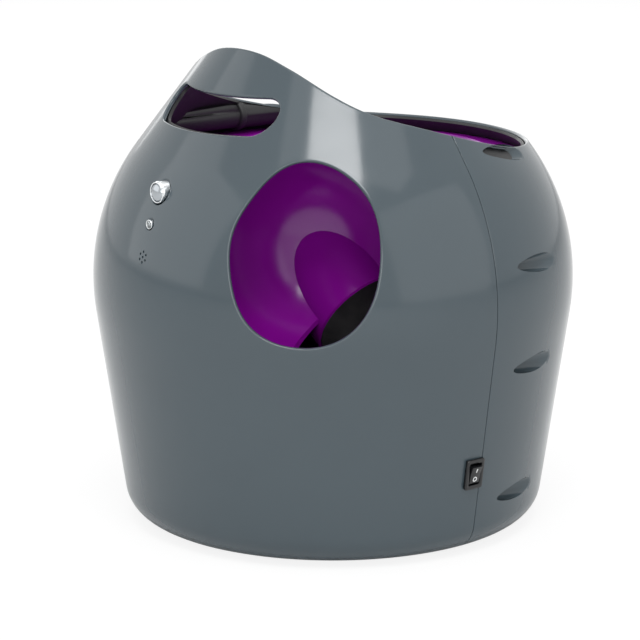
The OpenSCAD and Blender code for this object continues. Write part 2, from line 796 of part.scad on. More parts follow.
module idler_gear() {
    color("#e8e4d4") in_launcher() translate([0, idler_axis[0], idler_axis[1]]) {
        gear(m_big, idler_small_n, idler_turn + 180 + 180 / idler_small_n,
             drive_x[0] - 1, drive_x[1] - drive_x[0] + 1, idler_pin_r + fit);
        gear(m_small, idler_big_n, motor_turn, wheel_x[0], drive_x[0] - 1 - wheel_x[0],
             idler_pin_r + fit);
    }
}

module idler_pin() {
    color("silver") in_launcher()
        rod_x(mount_x[0], -plate_x[0] - mount_x[0], idler_pin_r - 0.01, idler_axis);
}

module motor_mount() {
    color(black) in_launcher() difference() {
        union() {
            along_x(mount_x[0], mount_x[1] - mount_x[0]) union() {
                polygon([[45, -64], [60, -64], cock_axis + [14, -10], cock_axis + [30, 40],
                         motor_axis + [16, 0], motor_axis + [0, 15], motor_axis + [-16, 4],
                         [52, -15], [50, -26], [45, -50]]);
                translate(motor_axis) circle(motor_d / 2 + 4);
            }
            mount_posts(-plate_x[1] - mount_x[1], 3);
        }
        rod_x(-60, 60, cock_shaft_r + fit, cock_axis);
        rod_x(-60, 60, idler_pin_r, idler_axis);
        rod_x(-60, 60, 4, motor_axis);
    }
}

module mount_posts(l, r) {
    rod_x(mount_x[1] - 1, l + 1, r, [56, -21.5]);
    rod_x(mount_x[1] - 1, l + 1, r, [50, -58.5]);
}

module drive_motor() {
    color("silver") in_launcher() {
        rod_x(mount_x[0] - 0.1 - motor_l, motor_l, motor_d / 2, motor_axis);
        rod_x(mount_x[0] - 0.2, 2.4, 3.6, motor_axis);
        rod_x(mount_x[0] - motor_l - 3, 4, 4, motor_axis);
        rod_x(mount_x[0], 9, motor_shaft_r - 0.01, motor_axis);
    }
}

module motor_pinion() {
    color("#b08d57") in_launcher() translate([0, motor_axis[0], motor_axis[1]])
        gear(m_small, pinion_n, motor_turn + 180 + 180 / pinion_n, wheel_x[0],
             wheel_x[1] - wheel_x[0], motor_shaft_r + 0.02);
}

// ---- angle knob ----

module shaft_stand() {
    color(black) difference() {
        union() {
            along_x(stand_x[0], stand_x[1] - stand_x[0]) union() {
                translate(tilt_yz) circle(9);
                translate(knob_yz) circle(8);
                polygon([[knob_yz[0] - 8, knob_yz[1]], [knob_yz[0] + 8, knob_yz[1]],
                         [tilt_yz[0] + 9, tilt_yz[1]], [-12, base_top + ledge_t + 0.2],
                         [-56, base_top + ledge_t + 0.2], [tilt_yz[0] - 9, tilt_yz[1]]]);
            }
            translate([stand_x[0], -50, base_top + ledge_t + 0.2]) cube([16, 36, 3]);
        }
        rod_x(stand_x[0] - 1, 30, tilt_shaft_d / 2 + fit, tilt_yz);
        rod_x(stand_x[0] - 1, 30, knob_shaft_r + fit, knob_yz);
        for (y = [-42, -22]) translate([-95, y, 0]) cylinder(h = 40, r = 1.6);
    }
}

module angle_knob() {
    color(black) {
        rod_x(knob_floor_x - 1 - knob_h, knob_h, knob_d / 2, knob_yz);
        rod_x(knob_floor_x - 2, stand_x[1] - knob_floor_x + 3, knob_shaft_r - 0.01, knob_yz);
        translate([knob_floor_x - knob_h - 2.4, knob_yz[0], knob_yz[1] + 3])
            translate([0, -1.5, 0]) cube([3, 3, knob_d / 2 - 4]);
    }
}

module knob_pinion() {
    color("#d8d8d0") translate([0, knob_yz[0], knob_yz[1]])
        gear(m_big, knob_pinion_n, knob_turn + 180, sector_x[0], sector_x[1] - sector_x[0],
             knob_shaft_r);
}

// ---- controls on the back ----

module control_panel() {
    color(black) difference() {
        translate([-panel_x + clear, panel_y - panel_t, panel_z[0] + clear])
            cube([2 * (panel_x - clear), panel_t, panel_z[1] - panel_z[0] - 2 * clear]);
        rod_y(100, 100, 3.3, dial_xz);
        rod_y(100, 100, button_d / 2 + clear, button_xz);
        rod_y(100, 100, 5.6, jack_xz);
    }
}

module distance_dial() {
    color(black) {
        rod_y(panel_y + 0.6, 9, dial_d / 2, dial_xz);
        rod_y(panel_y - 12, 13, 2.9, dial_xz);
        translate([dial_xz[0] - 1, panel_y + 9, dial_xz[1] + 2]) cube([2, 1.6, dial_d / 2 - 4]);
    }
}

module dial_control() {
    color("#3a6ea5") difference() {
        translate([dial_xz[0] - 8.5, panel_y - panel_t - 9, dial_xz[1] - 8.5])
            cube([17, 8.9, 17]);
        rod_y(100, 100, 2.9 + fit, dial_xz);
    }
}

module play_button() {
    color(purple) {
        rod_y(panel_y - panel_t - 3, panel_t + 3 + 3.2, button_d / 2, button_xz);
        rod_y(panel_y - panel_t - 4.5, 2, button_d / 2 + 1.5, button_xz);
    }
}

module button_switch() {
    color(black) translate([button_xz[0] - 6, panel_y - panel_t - 12 - button_travel,
                            button_xz[1] - 6])
        cube([12, 6.5, 12]);
}

module dc_jack() {
    color("#333333") difference() {
        union() {
            rod_y(panel_y - panel_t - 12, panel_t + 12, 5.5, jack_xz);
            rod_y(panel_y, 1.8, 7, jack_xz);
        }
        rod_y(panel_y - 10, 20, 3.2, jack_xz);
    }
    color("silver") rod_y(panel_y - 10.5, 10, 1, jack_xz);
}

// ---- power switch ----

module switch_frame() {
    translate([switch_x, switch_yz[0], switch_yz[1]])
        rotate([0, skirt_lean, 0]) translate([0.3, 0, 0]) children();
}

module power_switch() {
    color(black) switch_frame() difference() {
        union() {
            translate([0, -switch_w / 2, -switch_h / 2]) cube([1.8, switch_w, switch_h]);
            translate([-14, -switch_w / 2 + 1.2, -switch_h / 2 + 1.2])
                cube([15, switch_w - 2.6, switch_h - 2.4]);
        }
        translate([-9, -switch_w / 2 + 2.6, -switch_h / 2 + 3])
            cube([20, switch_w - 5.4, switch_h - 6]);
    }
}

module switch_rocker() {
    lean = 9;
    color("#111111") switch_frame() translate([-1.2, -0.1, 0]) difference() {
        rotate([90, 0, 0]) translate([0, 0, -(switch_w - 6.4) / 2])
            linear_extrude(switch_w - 6.4)
                polygon([[-4.2, 1.6], [-4.2, -1.6], [0, -switch_h / 2 + 4.6],
                         [2.6, -switch_h / 2 + 4.4], [3.3, 0], [5.4, switch_h / 2 - 4.6],
                         [0.6, switch_h / 2 - 4.4]]);
        rotate([90, 0, 0]) cylinder(h = 30, r = 0.9, center = true);
    }
}

// ---- sensor, lamp, speaker and boards ----

module sensor_housing() {
    y = -side_x(sensor_z);
    color("silver") difference() {
        rod_y(y - 5, 16, sensor_r, [0, sensor_z]);
        rod_y(y - 6, 12, sensor_r - 1.4, [0, sensor_z]);
    }
}

module sensor_lens() {
    y = -side_x(sensor_z);
    color("#15151a") rod_y(y - 3.4, 4, sensor_r - 1.5, [0, sensor_z]);
}

module led_bezel() {
    y = -side_x(led_z);
    color("silver") difference() {
        rod_y(y - 1.2, 8, led_r + 1, [0, led_z]);
        rod_y(y - 2, 20, led_r, [0, led_z]);
    }
}

module led_lens() {
    y = -side_x(led_z);
    color("#dfe8ea") {
        rod_y(y - 0.6, 8, led_r - 0.02, [0, led_z]);
        translate([0, y - 0.6, led_z]) sphere(led_r - 0.03, $fn = 32);
    }
}

module speaker() {
    color("#444444") translate([0, -side_x(speaker_z) + wall + 4, speaker_z]) {
        rod_y(0, 4, 14);
        rod_y(3.9, 5, 7);
    }
}

module sensor_board() {
    color("#2b6b3a") translate([-12, -side_x(sensor_z) + 16, led_z - 8])
        cube([24, 1.6, sensor_z - led_z + 12.5]);
}

board_z = tub_top + 6;

module main_board() {
    color("#2b6b3a") difference() {
        translate([-62, -28, board_z]) cube([78, 84, 1.6]);
        for (x = [-57, 11]) for (y = [-23, 51]) translate([x, y, 0]) cylinder(h = 90, r = 1.7);
    }
    color(black) for (x = [-57, 11]) for (y = [-23, 51])
        translate([x, y, tub_top]) cylinder(h = board_z - tub_top, r = 3);
}

module board_parts() {
    z = board_z + 1.6;
    color("#222222") {
        translate([-50, -14, z]) cube([16, 16, 2]);
        translate([-26, -20, z]) cube([19, 15, 15]);
        for (i = [0:3]) translate([-52 + i * 14, 46, z]) cube([10, 7, 7]);
        for (p = [[-44, 22], [-30, 26], [2, 10]]) translate([p[0], p[1], z])
            cylinder(h = 14, r = 5);
        translate([-8, 24, z]) cube([10, 4, 18]);
    }
}

// ---- the part ----

front_shell();
rear_shell();
shell_screws();
hopper_collar();
hopper_bowl();
feed_chute();
launch_bay();
base_plate();
base_screws();
rubber_feet();
battery_door();
door_pin();
door_screw();
battery_contacts();
launcher_bracket();
tilt_bushes();
launcher_frame();
tilt_shaft();
tilt_sector();
striker();
striker_pad();
launch_spring();
cocking_gear();
cocking_shaft();
drive_gear();
idler_gear();
idler_pin();
motor_mount();
drive_motor();
motor_pinion();
shaft_stand();
angle_knob();
knob_pinion();
control_panel();
distance_dial();
dial_control();
play_button();
button_switch();
dc_jack();
power_switch();
switch_rocker();
sensor_housing();
sensor_lens();
led_bezel();
led_lens();
speaker();
sensor_board();
main_board();
board_parts();
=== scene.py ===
"""Visible pieces of a round ball launcher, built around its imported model."""
import json
import math

import bmesh
import bpy
import numpy as np
from bpy.props import FloatProperty, IntProperty, PointerProperty, StringProperty
from mathutils import Matrix, Vector, kdtree
from mathutils.geometry import delaunay_2d_cdt


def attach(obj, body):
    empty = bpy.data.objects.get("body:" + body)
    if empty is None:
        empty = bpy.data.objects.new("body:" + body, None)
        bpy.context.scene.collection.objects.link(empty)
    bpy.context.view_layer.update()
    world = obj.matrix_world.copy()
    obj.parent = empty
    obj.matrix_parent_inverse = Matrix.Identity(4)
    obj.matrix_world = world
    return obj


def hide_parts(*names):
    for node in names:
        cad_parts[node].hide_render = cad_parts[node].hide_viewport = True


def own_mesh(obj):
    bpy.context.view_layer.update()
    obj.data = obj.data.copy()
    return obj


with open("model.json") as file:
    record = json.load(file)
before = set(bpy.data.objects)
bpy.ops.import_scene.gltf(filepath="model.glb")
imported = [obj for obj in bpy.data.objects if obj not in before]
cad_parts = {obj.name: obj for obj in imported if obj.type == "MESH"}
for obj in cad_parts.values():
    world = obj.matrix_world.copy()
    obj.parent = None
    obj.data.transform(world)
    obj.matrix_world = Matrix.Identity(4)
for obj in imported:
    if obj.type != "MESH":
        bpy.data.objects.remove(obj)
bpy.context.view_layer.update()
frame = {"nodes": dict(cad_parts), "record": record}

bl_info = {
    "name": "Ball Launcher Pieces",
    "version": (1, 0, 0),
    "blender": (4, 5, 0),
    "location": "View3D > Sidebar > Ball Launcher",
    "description": "Builds the visible pieces of a round ball launcher around its model",
    "category": "Object",
}

MM = 0.001
# places in the object's frame and sizes that several pieces share, in millimetres
UNROLL = 165.0                              # radius at which the side is laid flat
SEAT = np.array([102.0, -20.0, 123.0])      # middle of the ball seat
BOWL_REACH, BOWL_Z = 128.0, 210.0           # middle of the bowl's ball
CHUTE_LENGTH = 130.0                        # from the seat to the chute's elbow
SHEET_WALL = 2.5                            # wall of the bowl, the chute and the hopper
SWITCH_Z, SENSOR_Z, LAMP_Z, SPEAKER_Z = 59.5, 242.0, 221.8, 201.0
SPEAKER_HOLE = 0.85                         # radius of one of its seven holes
SCOOP_Z = (37.0, 127.0, 194.5, 263.2)       # heights of the shell's screws
SCOOP_SINK = 7.3                            # from the surface in to a screw's axis
SCOOP_FRONT = 16.0                          # where the scoops end and the screws sit
KNOB_Y, KNOB_Z, KNOB_FLOOR = -33.91, 115.17, -149.9
PANEL_HALF, PANEL_LOW, PANEL_HIGH = 52.0, 66.0, 104.0
PANEL_BACK, PANEL_FACE = 139.7, 143.0
LAUNCH_ANGLE = 38.5                         # degrees above level


def length(name, description, default):
    """A setting in metres."""
    return FloatProperty(name=name, description=description, default=default, unit="LENGTH",
                         precision=4)


def angle(name, description, degrees):
    """A setting given in degrees, kept in radians."""
    return FloatProperty(name=name, description=description, default=math.radians(degrees),
                         subtype="ANGLE")


def hexcolour(name, description, value):
    """A colour setting."""
    return StringProperty(name=name, description=description, default=value)


# ---------------------------------------------------------------- sizes and colours

class LauncherHousing(bpy.types.PropertyGroup):
    """Sizes of the two shells."""
    belly_radius: length("Belly radius", "Widest radius of the housing", 0.165)
    belly_height: length("Belly height", "Height of the belly", 0.168)
    side_radius: length("Side radius", "Radius of the side's curve", 0.152)
    crown_lean: angle("Crown lean", "Lean of the crown from upright", 37)
    skirt_lean: angle("Skirt lean", "Lean of the lower side from upright", 8.3)
    bottom_radius: length("Bottom radius", "Radius of the rounded bottom edge", 0.022)
    floor_gap: length("Floor gap", "Height of the housing's underside", 0.002)
    base_radius: length("Base radius", "Radius of the opening for the base", 0.112)
    wall: length("Wall", "Wall of the shells", 0.003)
    handle_top: length("Handle top", "Height of the handle", 0.331)
    rim_back: length("Rim at the back", "Height of the hopper's rim at the back", 0.261)
    seam_gap: length("Seam gap", "Gap between the shells", 0.0004)
    lip: length("Lip", "Rounding of the shell's edges", 0.0011)
    scoop_radius: length("Scoop radius", "Radius of the screw scoops", 0.006)
    mesh_step: length("Mesh step", "Distance between points of the shells", 0.0029)


class LauncherOpening(bpy.types.PropertyGroup):
    """Sizes of the launch opening, its bowl, the chute and the hopper."""
    turn: angle("Opening's turn", "Direction of the opening from the front", 43.5)
    width: length("Opening's width", "Width of the launch opening", 0.097)
    height: length("Opening's height", "Height of the launch opening", 0.114)
    centre_z: length("Opening's centre", "Height of the opening's centre", 0.211)
    bowl_radius: length("Bowl radius", "Inner radius of the bowl", 0.072)
    slot_width: length("Slot width", "Width of the finger slot", 0.112)
    slot_height: length("Slot height", "Height of the finger slot", 0.023)
    slot_z: length("Slot centre", "Height of the finger slot's centre", 0.291)
    slot_bow: length("Slot bow", "Rise of the slot's ends above its middle", 0.001)
    deck_z: length("Deck height", "Height of the hopper's deck", 0.250)
    chute_radius: length("Chute radius", "Inner radius of the feed chute", 0.037)
    chute_slope: angle("Chute slope", "Slope of the feed chute", 35)


class LauncherMechanism(bpy.types.PropertyGroup):
    """Sizes of the launch spring."""
    launch_angle: angle("Launch angle", "Rise of the launch from level", LAUNCH_ANGLE)
    stroke: length("Stroke", "Travel of the striker", 0.036)
    spring_start: length("Spring's front", "From the seat to the spring's front", 0.0435)
    spring_end: length("Spring's back", "From the seat to the spring's back", 0.0904)
    spring_radius: length("Spring radius", "Radius to the middle of the wire", 0.0098)
    spring_wire: length("Wire", "Diameter of the spring's wire", 0.0024)
    spring_turns: IntProperty(name="Turns", description="Turns of the spring", default=9)


class LauncherControls(bpy.types.PropertyGroup):
    """Sizes of the switch, the knob, the dial and the button."""
    switch_width: length("Switch width", "Width of the switch's frame", 0.015)
    switch_height: length("Switch height", "Height of the switch's frame", 0.021)
    knob_diameter: length("Knob", "Diameter of the angle knob", 0.032)
    dial_diameter: length("Dial", "Diameter of the distance dial", 0.030)
    button_diameter: length("Button", "Diameter of the play button", 0.018)


class LauncherColours(bpy.types.PropertyGroup):
    """Colours as sRGB hex values."""
    housing: hexcolour("Housing", "Grey of the moulded housing", "#3F4A50")
    purple: hexcolour("Purple", "Purple of the bowl, chute and hopper", "#7E0A8A")
    black: hexcolour("Black", "Black of the liner and the base", "#141517")
    rubber: hexcolour("Rubber", "Feet and pads", "#1B1B1C")
    nylon: hexcolour("Nylon", "Gears and the striker", "#D6D5CB")
    board: hexcolour("Board", "Circuit boards", "#1F5A33")


class LauncherStage(bpy.types.PropertyGroup):
    """Camera and light."""
    lens: FloatProperty(name="Lens", description="Focal length in millimetres", default=145.91)
    distance: length("Camera distance", "Camera to target", 1.8)
    elevation: angle("Elevation", "Camera above level", 13.086)
    azimuth: angle("Azimuth", "Camera around the object", 50.0)
    target_z: length("Target height", "Height that the camera looks at", 0.13496)
    shift_x: FloatProperty(name="Shift", description="Sideways lens shift", default=-0.0204)


# ---------------------------------------------------------------- materials

def linear(hex_value):
    """sRGB hex text to linear RGBA."""
    raw = [int(hex_value[i:i + 2], 16) / 255 for i in (1, 3, 5)]
    return [c / 12.92 if c <= 0.04045 else ((c + 0.055) / 1.055) ** 2.4 for c in raw] + [1.0]


def add(tree, kind, links=(), **settings):
    """One node with its settings, its socket values and its links."""
    made = tree.nodes.new(kind)
    for key, value in settings.items():
        if key == "sockets":
            for socket, number in value.items():
                made.inputs[socket].default_value = number
        else:
            setattr(made, key, value)
    for socket, source in links:
        tree.links.new(source, made.inputs[socket])
    return made


# how wide the patches are in which a colour drifts and a gloss is uneven, in millimetres
DRIFT_MM, HAZE_MM = 111.1, 16.67


def moulded(name, colour, roughness, ripple_mm, ripple, grain_mm=0.0, grain=0.0, shift=0.04,
            metallic=0.0, ior=1.5):
    """A moulded or machined surface: its colour drifts a little, its gloss is uneven, and a
    long ripple and a fine grain bend its reflections."""
    mat = bpy.data.materials.new(name)
    mat.use_nodes = True
    tree = mat.node_tree
    shader = tree.nodes["Principled BSDF"]
    place = add(tree, "ShaderNodeTexCoord").outputs["Object"]
    drift = add(tree, "ShaderNodeTexNoise", [("Vector", place)],
                sockets={"Scale": 1000 / DRIFT_MM, "Detail": 3.0})
    base = linear(colour)
    dark = [c * (1 - shift) for c in base[:3]] + [1]
    pale = [min(1, c * (1 + shift)) for c in base[:3]] + [1]
    tone = add(tree, "ShaderNodeValToRGB", [(0, drift.outputs["Fac"])])
    for stop, factor, shade in zip(tone.color_ramp.elements, (0.35, 0.65), (dark, pale)):
        stop.position = factor
        stop.color = shade
    tree.links.new(tone.outputs["Color"], shader.inputs["Base Color"])
    haze = add(tree, "ShaderNodeTexNoise", [("Vector", place)],
               sockets={"Scale": 1000 / HAZE_MM, "Detail": 4.0})
    gloss = add(tree, "ShaderNodeMapRange", [("Value", haze.outputs["Fac"])],
                sockets={"From Min": 0.3, "From Max": 0.7,
                         "To Min": roughness * 0.85, "To Max": roughness * 1.2})
    tree.links.new(gloss.outputs["Result"], shader.inputs["Roughness"])
    wave = add(tree, "ShaderNodeTexNoise", [("Vector", place)],
               sockets={"Scale": 1000 / ripple_mm, "Detail": 1.0})
    bump = add(tree, "ShaderNodeBump", [("Height", wave.outputs["Fac"])],
               sockets={"Strength": ripple, "Distance": 0.001})
    if grain:
        fine = add(tree, "ShaderNodeTexNoise", [("Vector", place)],
                   sockets={"Scale": 1000 / grain_mm, "Detail": 2.0})
        bump = add(tree, "ShaderNodeBump", [("Height", fine.outputs["Fac"]),
                                           ("Normal", bump.outputs["Normal"])],
                   sockets={"Strength": grain, "Distance": 0.0003})
    tree.links.new(bump.outputs["Normal"], shader.inputs["Normal"])
    shader.inputs["Metallic"].default_value = metallic
    if not metallic:
        shader.inputs["IOR"].default_value = ior
    mat.diffuse_color = base
    return mat


def clear_lens(name, tint):
    """Clear moulded polycarbonate, water-clear with a bright highlight."""
    mat = moulded(name, tint, 0.06, 8, 0.02, ior=1.58)
    shader = mat.node_tree.nodes["Principled BSDF"]
    shader.inputs["Transmission Weight"].default_value = 0.85
    return mat


def make_materials(colours):
    """All finishes, by the record's material slot."""
    # the real grains are a few tenths of a millimetre or finer, too fine to show in the
    # render, so they are drawn as coarse as they need to show: 0.5 to 1.2 mm
    return {
        # glossy ABS: a deep skin with long soft ripples from the mould, as big housings have
        "housing": moulded("Glossy moulded ABS, grey", colours.housing, 0.12, 70, 0.05,
                           shift=0.03),
        # the same ABS in purple: more saturated, its highlights stay milky and soft-edged
        "purple_plastic": moulded("Glossy moulded ABS, purple", colours.purple, 0.15, 45,
                                  0.05, shift=0.06),
        # textured polypropylene: fine spark-eroded grain that keeps highlights dull
        "black_plastic": moulded("Spark-textured polypropylene, black", colours.black, 0.42,
                                 60, 0.03, 1.2, 0.25, shift=0.1),
        # polished ABS: a flat black that mirrors the lamps
        "black_gloss": moulded("Polished ABS, black", "#121315", 0.2, 30, 0.03, shift=0.1),
        # nylon straight from the mould: a dry, slightly rough black
        "dark_plastic": moulded("Moulded nylon, black", "#202124", 0.5, 20, 0.05, 0.9, 0.3,
                                shift=0.1),
        # moulded acetal and nylon: waxy, slightly mottled off-white
        "white_nylon": moulded("Moulded nylon, natural", colours.nylon, 0.45, 15, 0.05, 1.0,
                               0.2, shift=0.05),
        # soft rubber: matt with a faint bloom
        "black_rubber": moulded("Moulded rubber, black", colours.rubber, 0.75, 12, 0.1, 0.8,
                                0.5, shift=0.2),
        # zinc plate: bright grey with a faint uneven frost
        "steel": moulded("Zinc-plated steel", "#B4B7BA", 0.32, 6, 0.05, 0.6, 0.2, shift=0.08,
                         metallic=1.0),
        # sintered bronze: warm and slightly porous
        "bronze": moulded("Sintered bronze", "#A8834B", 0.42, 5, 0.1, 0.5, 0.5, shift=0.1,
                          metallic=1.0),
        # chrome-plated ABS: mirror bright
        "chrome_trim": moulded("Chrome-plated ABS", "#D5D8DA", 0.08, 12, 0.02, shift=0.02,
                               metallic=1.0),
        # vacuum-metallised polycarbonate: a soft silver mirror
        "silvered_lens": moulded("Metallised polycarbonate", "#A9AEB2", 0.14, 12, 0.03,
                                 metallic=1.0),
        "clear_lens": clear_lens("Clear moulded polycarbonate", "#E6EEF0"),
        # solder mask over glass fibre: satin green with a faint weave
        "circuit_board": moulded("Solder mask on glass fibre", colours.board, 0.35, 4, 0.15,
                                 0.7, 0.4, shift=0.12),
        # pad-printed ink: flat white, thin and even
        "print_white": moulded("Pad-printed ink, white", "#E4E6E6", 0.5, 10, 0.02, shift=0.03),
    }


# ---------------------------------------------------------------- meshes

def linked(name, data):
    """An object with this data, in the scene."""
    made = bpy.data.objects.new(name, data)
    bpy.context.scene.collection.objects.link(made)
    return made


def add_piece(name, points, faces):
    """A mesh object at the origin, from points in millimetres."""
    mesh = bpy.data.meshes.new(name)
    mesh.from_pydata((np.asarray(points) * MM).tolist(), [], [list(f) for f in faces])
    mesh.validate()
    return linked(name, mesh)


def dress(piece, finish, body, nodes=(), sharp=32):
    """Finish, shading and place of a piece."""
    mesh = piece.data
    mesh.materials.clear()
    mesh.materials.append(FINISH[finish])
    mesh.shade_smooth()
    mesh.set_sharp_from_angle(angle=math.radians(sharp))
    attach(piece, body)
    if nodes:
        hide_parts(*nodes)


def weld(points, faces):
    """Merges points that share a place and drops faces that collapse."""
    keys = np.round(points, 4)
    _, first, back = np.unique(keys, axis=0, return_index=True, return_inverse=True)
    back = back.reshape(-1)
    order = np.argsort(first)
    rank = np.empty(len(order), int)
    rank[order] = np.arange(len(order))
    kept = points[first[order]]
    out = []
    for f in faces:
        ring = []
        for i in f:
            j = int(rank[back[i]])
            if not ring or ring[-1] != j:
                ring.append(j)
        if len(ring) > 1 and ring[0] == ring[-1]:
            ring.pop()
        if len(ring) > 2 and len(set(ring)) == len(ring):
            out.append(ring)
    return kept, out


class Build:
    """Collects rows and patches of points and their faces."""

    def __init__(self):
        self.points = []
        self.faces = []
        self.count = 0

    def put(self, points):
        """Numbers of newly added points."""
        start = self.count
        self.points.append(np.asarray(points, float).reshape(-1, 3))
        self.count += len(self.points[-1])
        return np.arange(start, self.count)

    def strip(self, rows, closed=True):
        """Quads between rows of points; they face right when rows go deeper with the
        material on the left."""
        ids = [self.put(r) for r in rows]
        for a, b in zip(ids, ids[1:]):
            n = len(a)
            for i in range(n if closed else n - 1):
                j = (i + 1) % n
                self.faces.append((a[j], a[i], b[i], b[j]))
        return ids

    def cap(self, row, flip=False):
        """A fan over a closed row."""
        ids = self.put(row)
        centre = self.put([np.mean(row, axis=0)])[0]
        for i in range(len(ids)):
            j = (i + 1) % len(ids)
            face = (ids[i], ids[j], centre)
            self.faces.append(face[::-1] if flip else face)

    def patch(self, points, triangles, flip=False):
        """Triangles over points of their own."""
        start = self.put(points)[0]
        for t in triangles:
            face = (start + t[0], start + t[1], start + t[2])
            self.faces.append(face[::-1] if flip else face)

    def bare(self, name):
        """The mesh object, without a finish or a body."""
        return add_piece(name, *weld(np.vstack(self.points), self.faces))

    def piece(self, name, finish, body, nodes=(), slot=None, sharp=32):
        """The finished piece, on its body and in place of its nodes."""
        piece = self.bare(name)
        dress(piece, finish, body, nodes, sharp)
        return piece


def full_turn(count):
    """Evenly spaced angles of a full turn."""
    return np.arange(count) * 2 * math.pi / count


def circle(centre, across, up, radius, count=64):
    """Points of a circle in the plane of two directions."""
    a = full_turn(count)
    return (np.asarray(centre) + np.outer(np.cos(a) * radius, across)
            + np.outer(np.sin(a) * radius, up))


def turned(profile, centre, axis, count=64, flutes=None, build=None):
    """A turned shape from (radius, distance along the axis) pairs, in a new build or in one
    that is given. Flutes, as (how many, how deep, from what radius), groove its wider
    rows."""
    build = build or Build()
    axis = np.asarray(axis, float) / np.linalg.norm(axis)
    side = np.cross(axis, (0, 0, 1) if abs(axis[2]) < 0.9 else (1, 0, 0))
    side /= np.linalg.norm(side)
    up = np.cross(axis, side)
    groove = np.zeros(count)
    if flutes:
        turns = np.arange(count) * flutes[0] * 2 * math.pi / count
        groove = flutes[1] * (0.5 + 0.5 * np.cos(turns)) ** 2
    rows = []
    for r, d in profile:
        radius = r - groove if flutes and r > flutes[2] else max(r, 0.0)
        rows.append(circle(np.asarray(centre) + axis * d, side, up, radius, count))
    build.strip([r[::-1] for r in rows])
    return build


def rounded(profile, radius, steps=3):
    """Rounds the corners of a profile of (radius, distance) pairs."""
    p = [np.asarray(q, float) for q in profile]
    out = [tuple(p[0])]
    for a, b, c in zip(p, p[1:], p[2:]):
        la, lc = np.linalg.norm(a - b), np.linalg.norm(c - b)
        if la < 1e-6 or lc < 1e-6:
            continue
        cut = min(radius, la * 0.45, lc * 0.45)
        s, e = b + (a - b) / la * cut, b + (c - b) / lc * cut
        for k in range(steps + 1):
            t = k / steps
            out.append(tuple((1 - t) ** 2 * s + 2 * t * (1 - t) * b + t * t * e))
    out.append(tuple(p[-1]))
    return out


# ---------------------------------------------------------------- the housing's side

class Side:
    """Side of the housing, as radius, height and outward direction along its length."""

    def __init__(self, h):
        lean, skirt = h.crown_lean, h.skirt_lean
        radius, bottom, foot = h.side_radius / MM, h.bottom_radius / MM, h.floor_gap / MM
        arc_x, belly_z = h.belly_radius / MM - radius, h.belly_height / MM
        low = np.array([arc_x + radius * math.cos(skirt), belly_z - radius * math.sin(skirt)])
        corner_z = foot + bottom
        corner_x = low[0] - (low[1] - corner_z) * math.tan(skirt) - bottom / math.cos(skirt)
        # each row: radius, height, and the outward direction's two parts
        rows = [(r, foot, 0.0, -1.0) for r in np.linspace(h.base_radius / MM, corner_x, 8)]
        for a in np.linspace(-math.pi / 2, -skirt, 40):
            rows.append((corner_x + bottom * math.cos(a), corner_z + bottom * math.sin(a),
                         math.cos(a), math.sin(a)))
        start = rows[-1]
        for t in np.linspace(0.02, 0.98, 40):
            rows.append((start[0] + (low[0] - start[0]) * t,
                         start[1] + (low[1] - start[1]) * t,
                         math.cos(skirt), -math.sin(skirt)))
        for a in np.linspace(-skirt, lean, 160):
            rows.append((arc_x + radius * math.cos(a), belly_z + radius * math.sin(a),
                         math.cos(a), math.sin(a)))
        start = rows[-1]
        for d in np.linspace(2, 100, 50):
            rows.append((start[0] - d * math.tan(lean), start[1] + d, math.cos(lean),
                         math.sin(lean)))
        self.table = np.array(rows)
        step = np.linalg.norm(np.diff(self.table[:, :2], axis=0), axis=1)
        self.s = np.concatenate([[0], np.cumsum(step)])
        self.end = self.s[-1]

    def radius(self, s, depth=0.0):
        """Radius at a length along the side, at a depth under the surface."""
        t = self.table
        return np.interp(s, self.s, t[:, 0]) - depth * np.interp(s, self.s, t[:, 2])

    def height(self, s, depth=0.0):
        """Height at a length along the side, at a depth under the surface."""
        t = self.table
        return np.interp(s, self.s, t[:, 1]) - depth * np.interp(s, self.s, t[:, 3])

    def at_height(self, z, depth=0.0):
        """Length along the side at a height."""
        z_table = self.table[:, 1] - depth * self.table[:, 3]
        first = 12      # past the flat underside, where the heights start to rise
        return np.interp(z, z_table[first:], self.s[first:])

    def reach(self, z):
        """Radius of the surface at a height."""
        return float(self.radius(self.at_height(z)))

    def across(self, far, z, depth=0.0):
        """How far the surface is from one middle plane, at a distance from the other."""
        radius = self.radius(self.at_height(z, depth), depth)
        return np.sqrt(np.maximum(radius ** 2 - far ** 2, 0))

    def place(self, us, depth=0.0):
        """Points of (turn, length) pairs at a depth under the surface."""
        u, s = us[:, 0], us[:, 1]
        r = self.radius(s, depth)
        return np.column_stack([r * np.sin(u), -r * np.cos(u), self.height(s, depth)])

    def from_xz(self, x, z, depth=0.0):
        """(turn, length) of the point of the front with this x and z."""
        s = self.at_height(z, depth)
        return np.column_stack([np.arcsin(np.clip(x / self.radius(s, depth), -1, 1)), s])

    def from_yz(self, y, z, hand, depth=0.0):
        """(turn, length) of the point of the right (1) or left (-1) side with this y and z."""
        s = self.at_height(z, depth)
        u = np.arccos(np.clip(-y / self.radius(s, depth), -1, 1))
        return np.column_stack([hand * u, s])


def rim_line(h):
    """Heights of the rim and handle against y, as one smooth curve."""
    back, top = h.rim_back / MM, h.handle_top / MM
    p = np.array([(150, back), (132, back), (100, back + 0.7), (60, back + 4),
                  (20, back + 12.5), (-20, back + 24), (-48, back + 33.5), (-64, top - 25),
                  (-75, top - 10), (-80, top - 1), (-86, top + 4), (-96, top + 6)], float)
    out = []
    for a, b, c, d in zip(p, p[1:], p[2:], p[3:]):
        for t in np.linspace(0, 1, 24, endpoint=False):
            out.append(0.5 * (2 * b + (c - a) * t + (2 * a - 5 * b + 4 * c - d) * t * t
                              + (3 * b - a - 3 * c + d) * t ** 3))
    line = np.array(out)[::-1]
    return line[:, 0], line[:, 1]


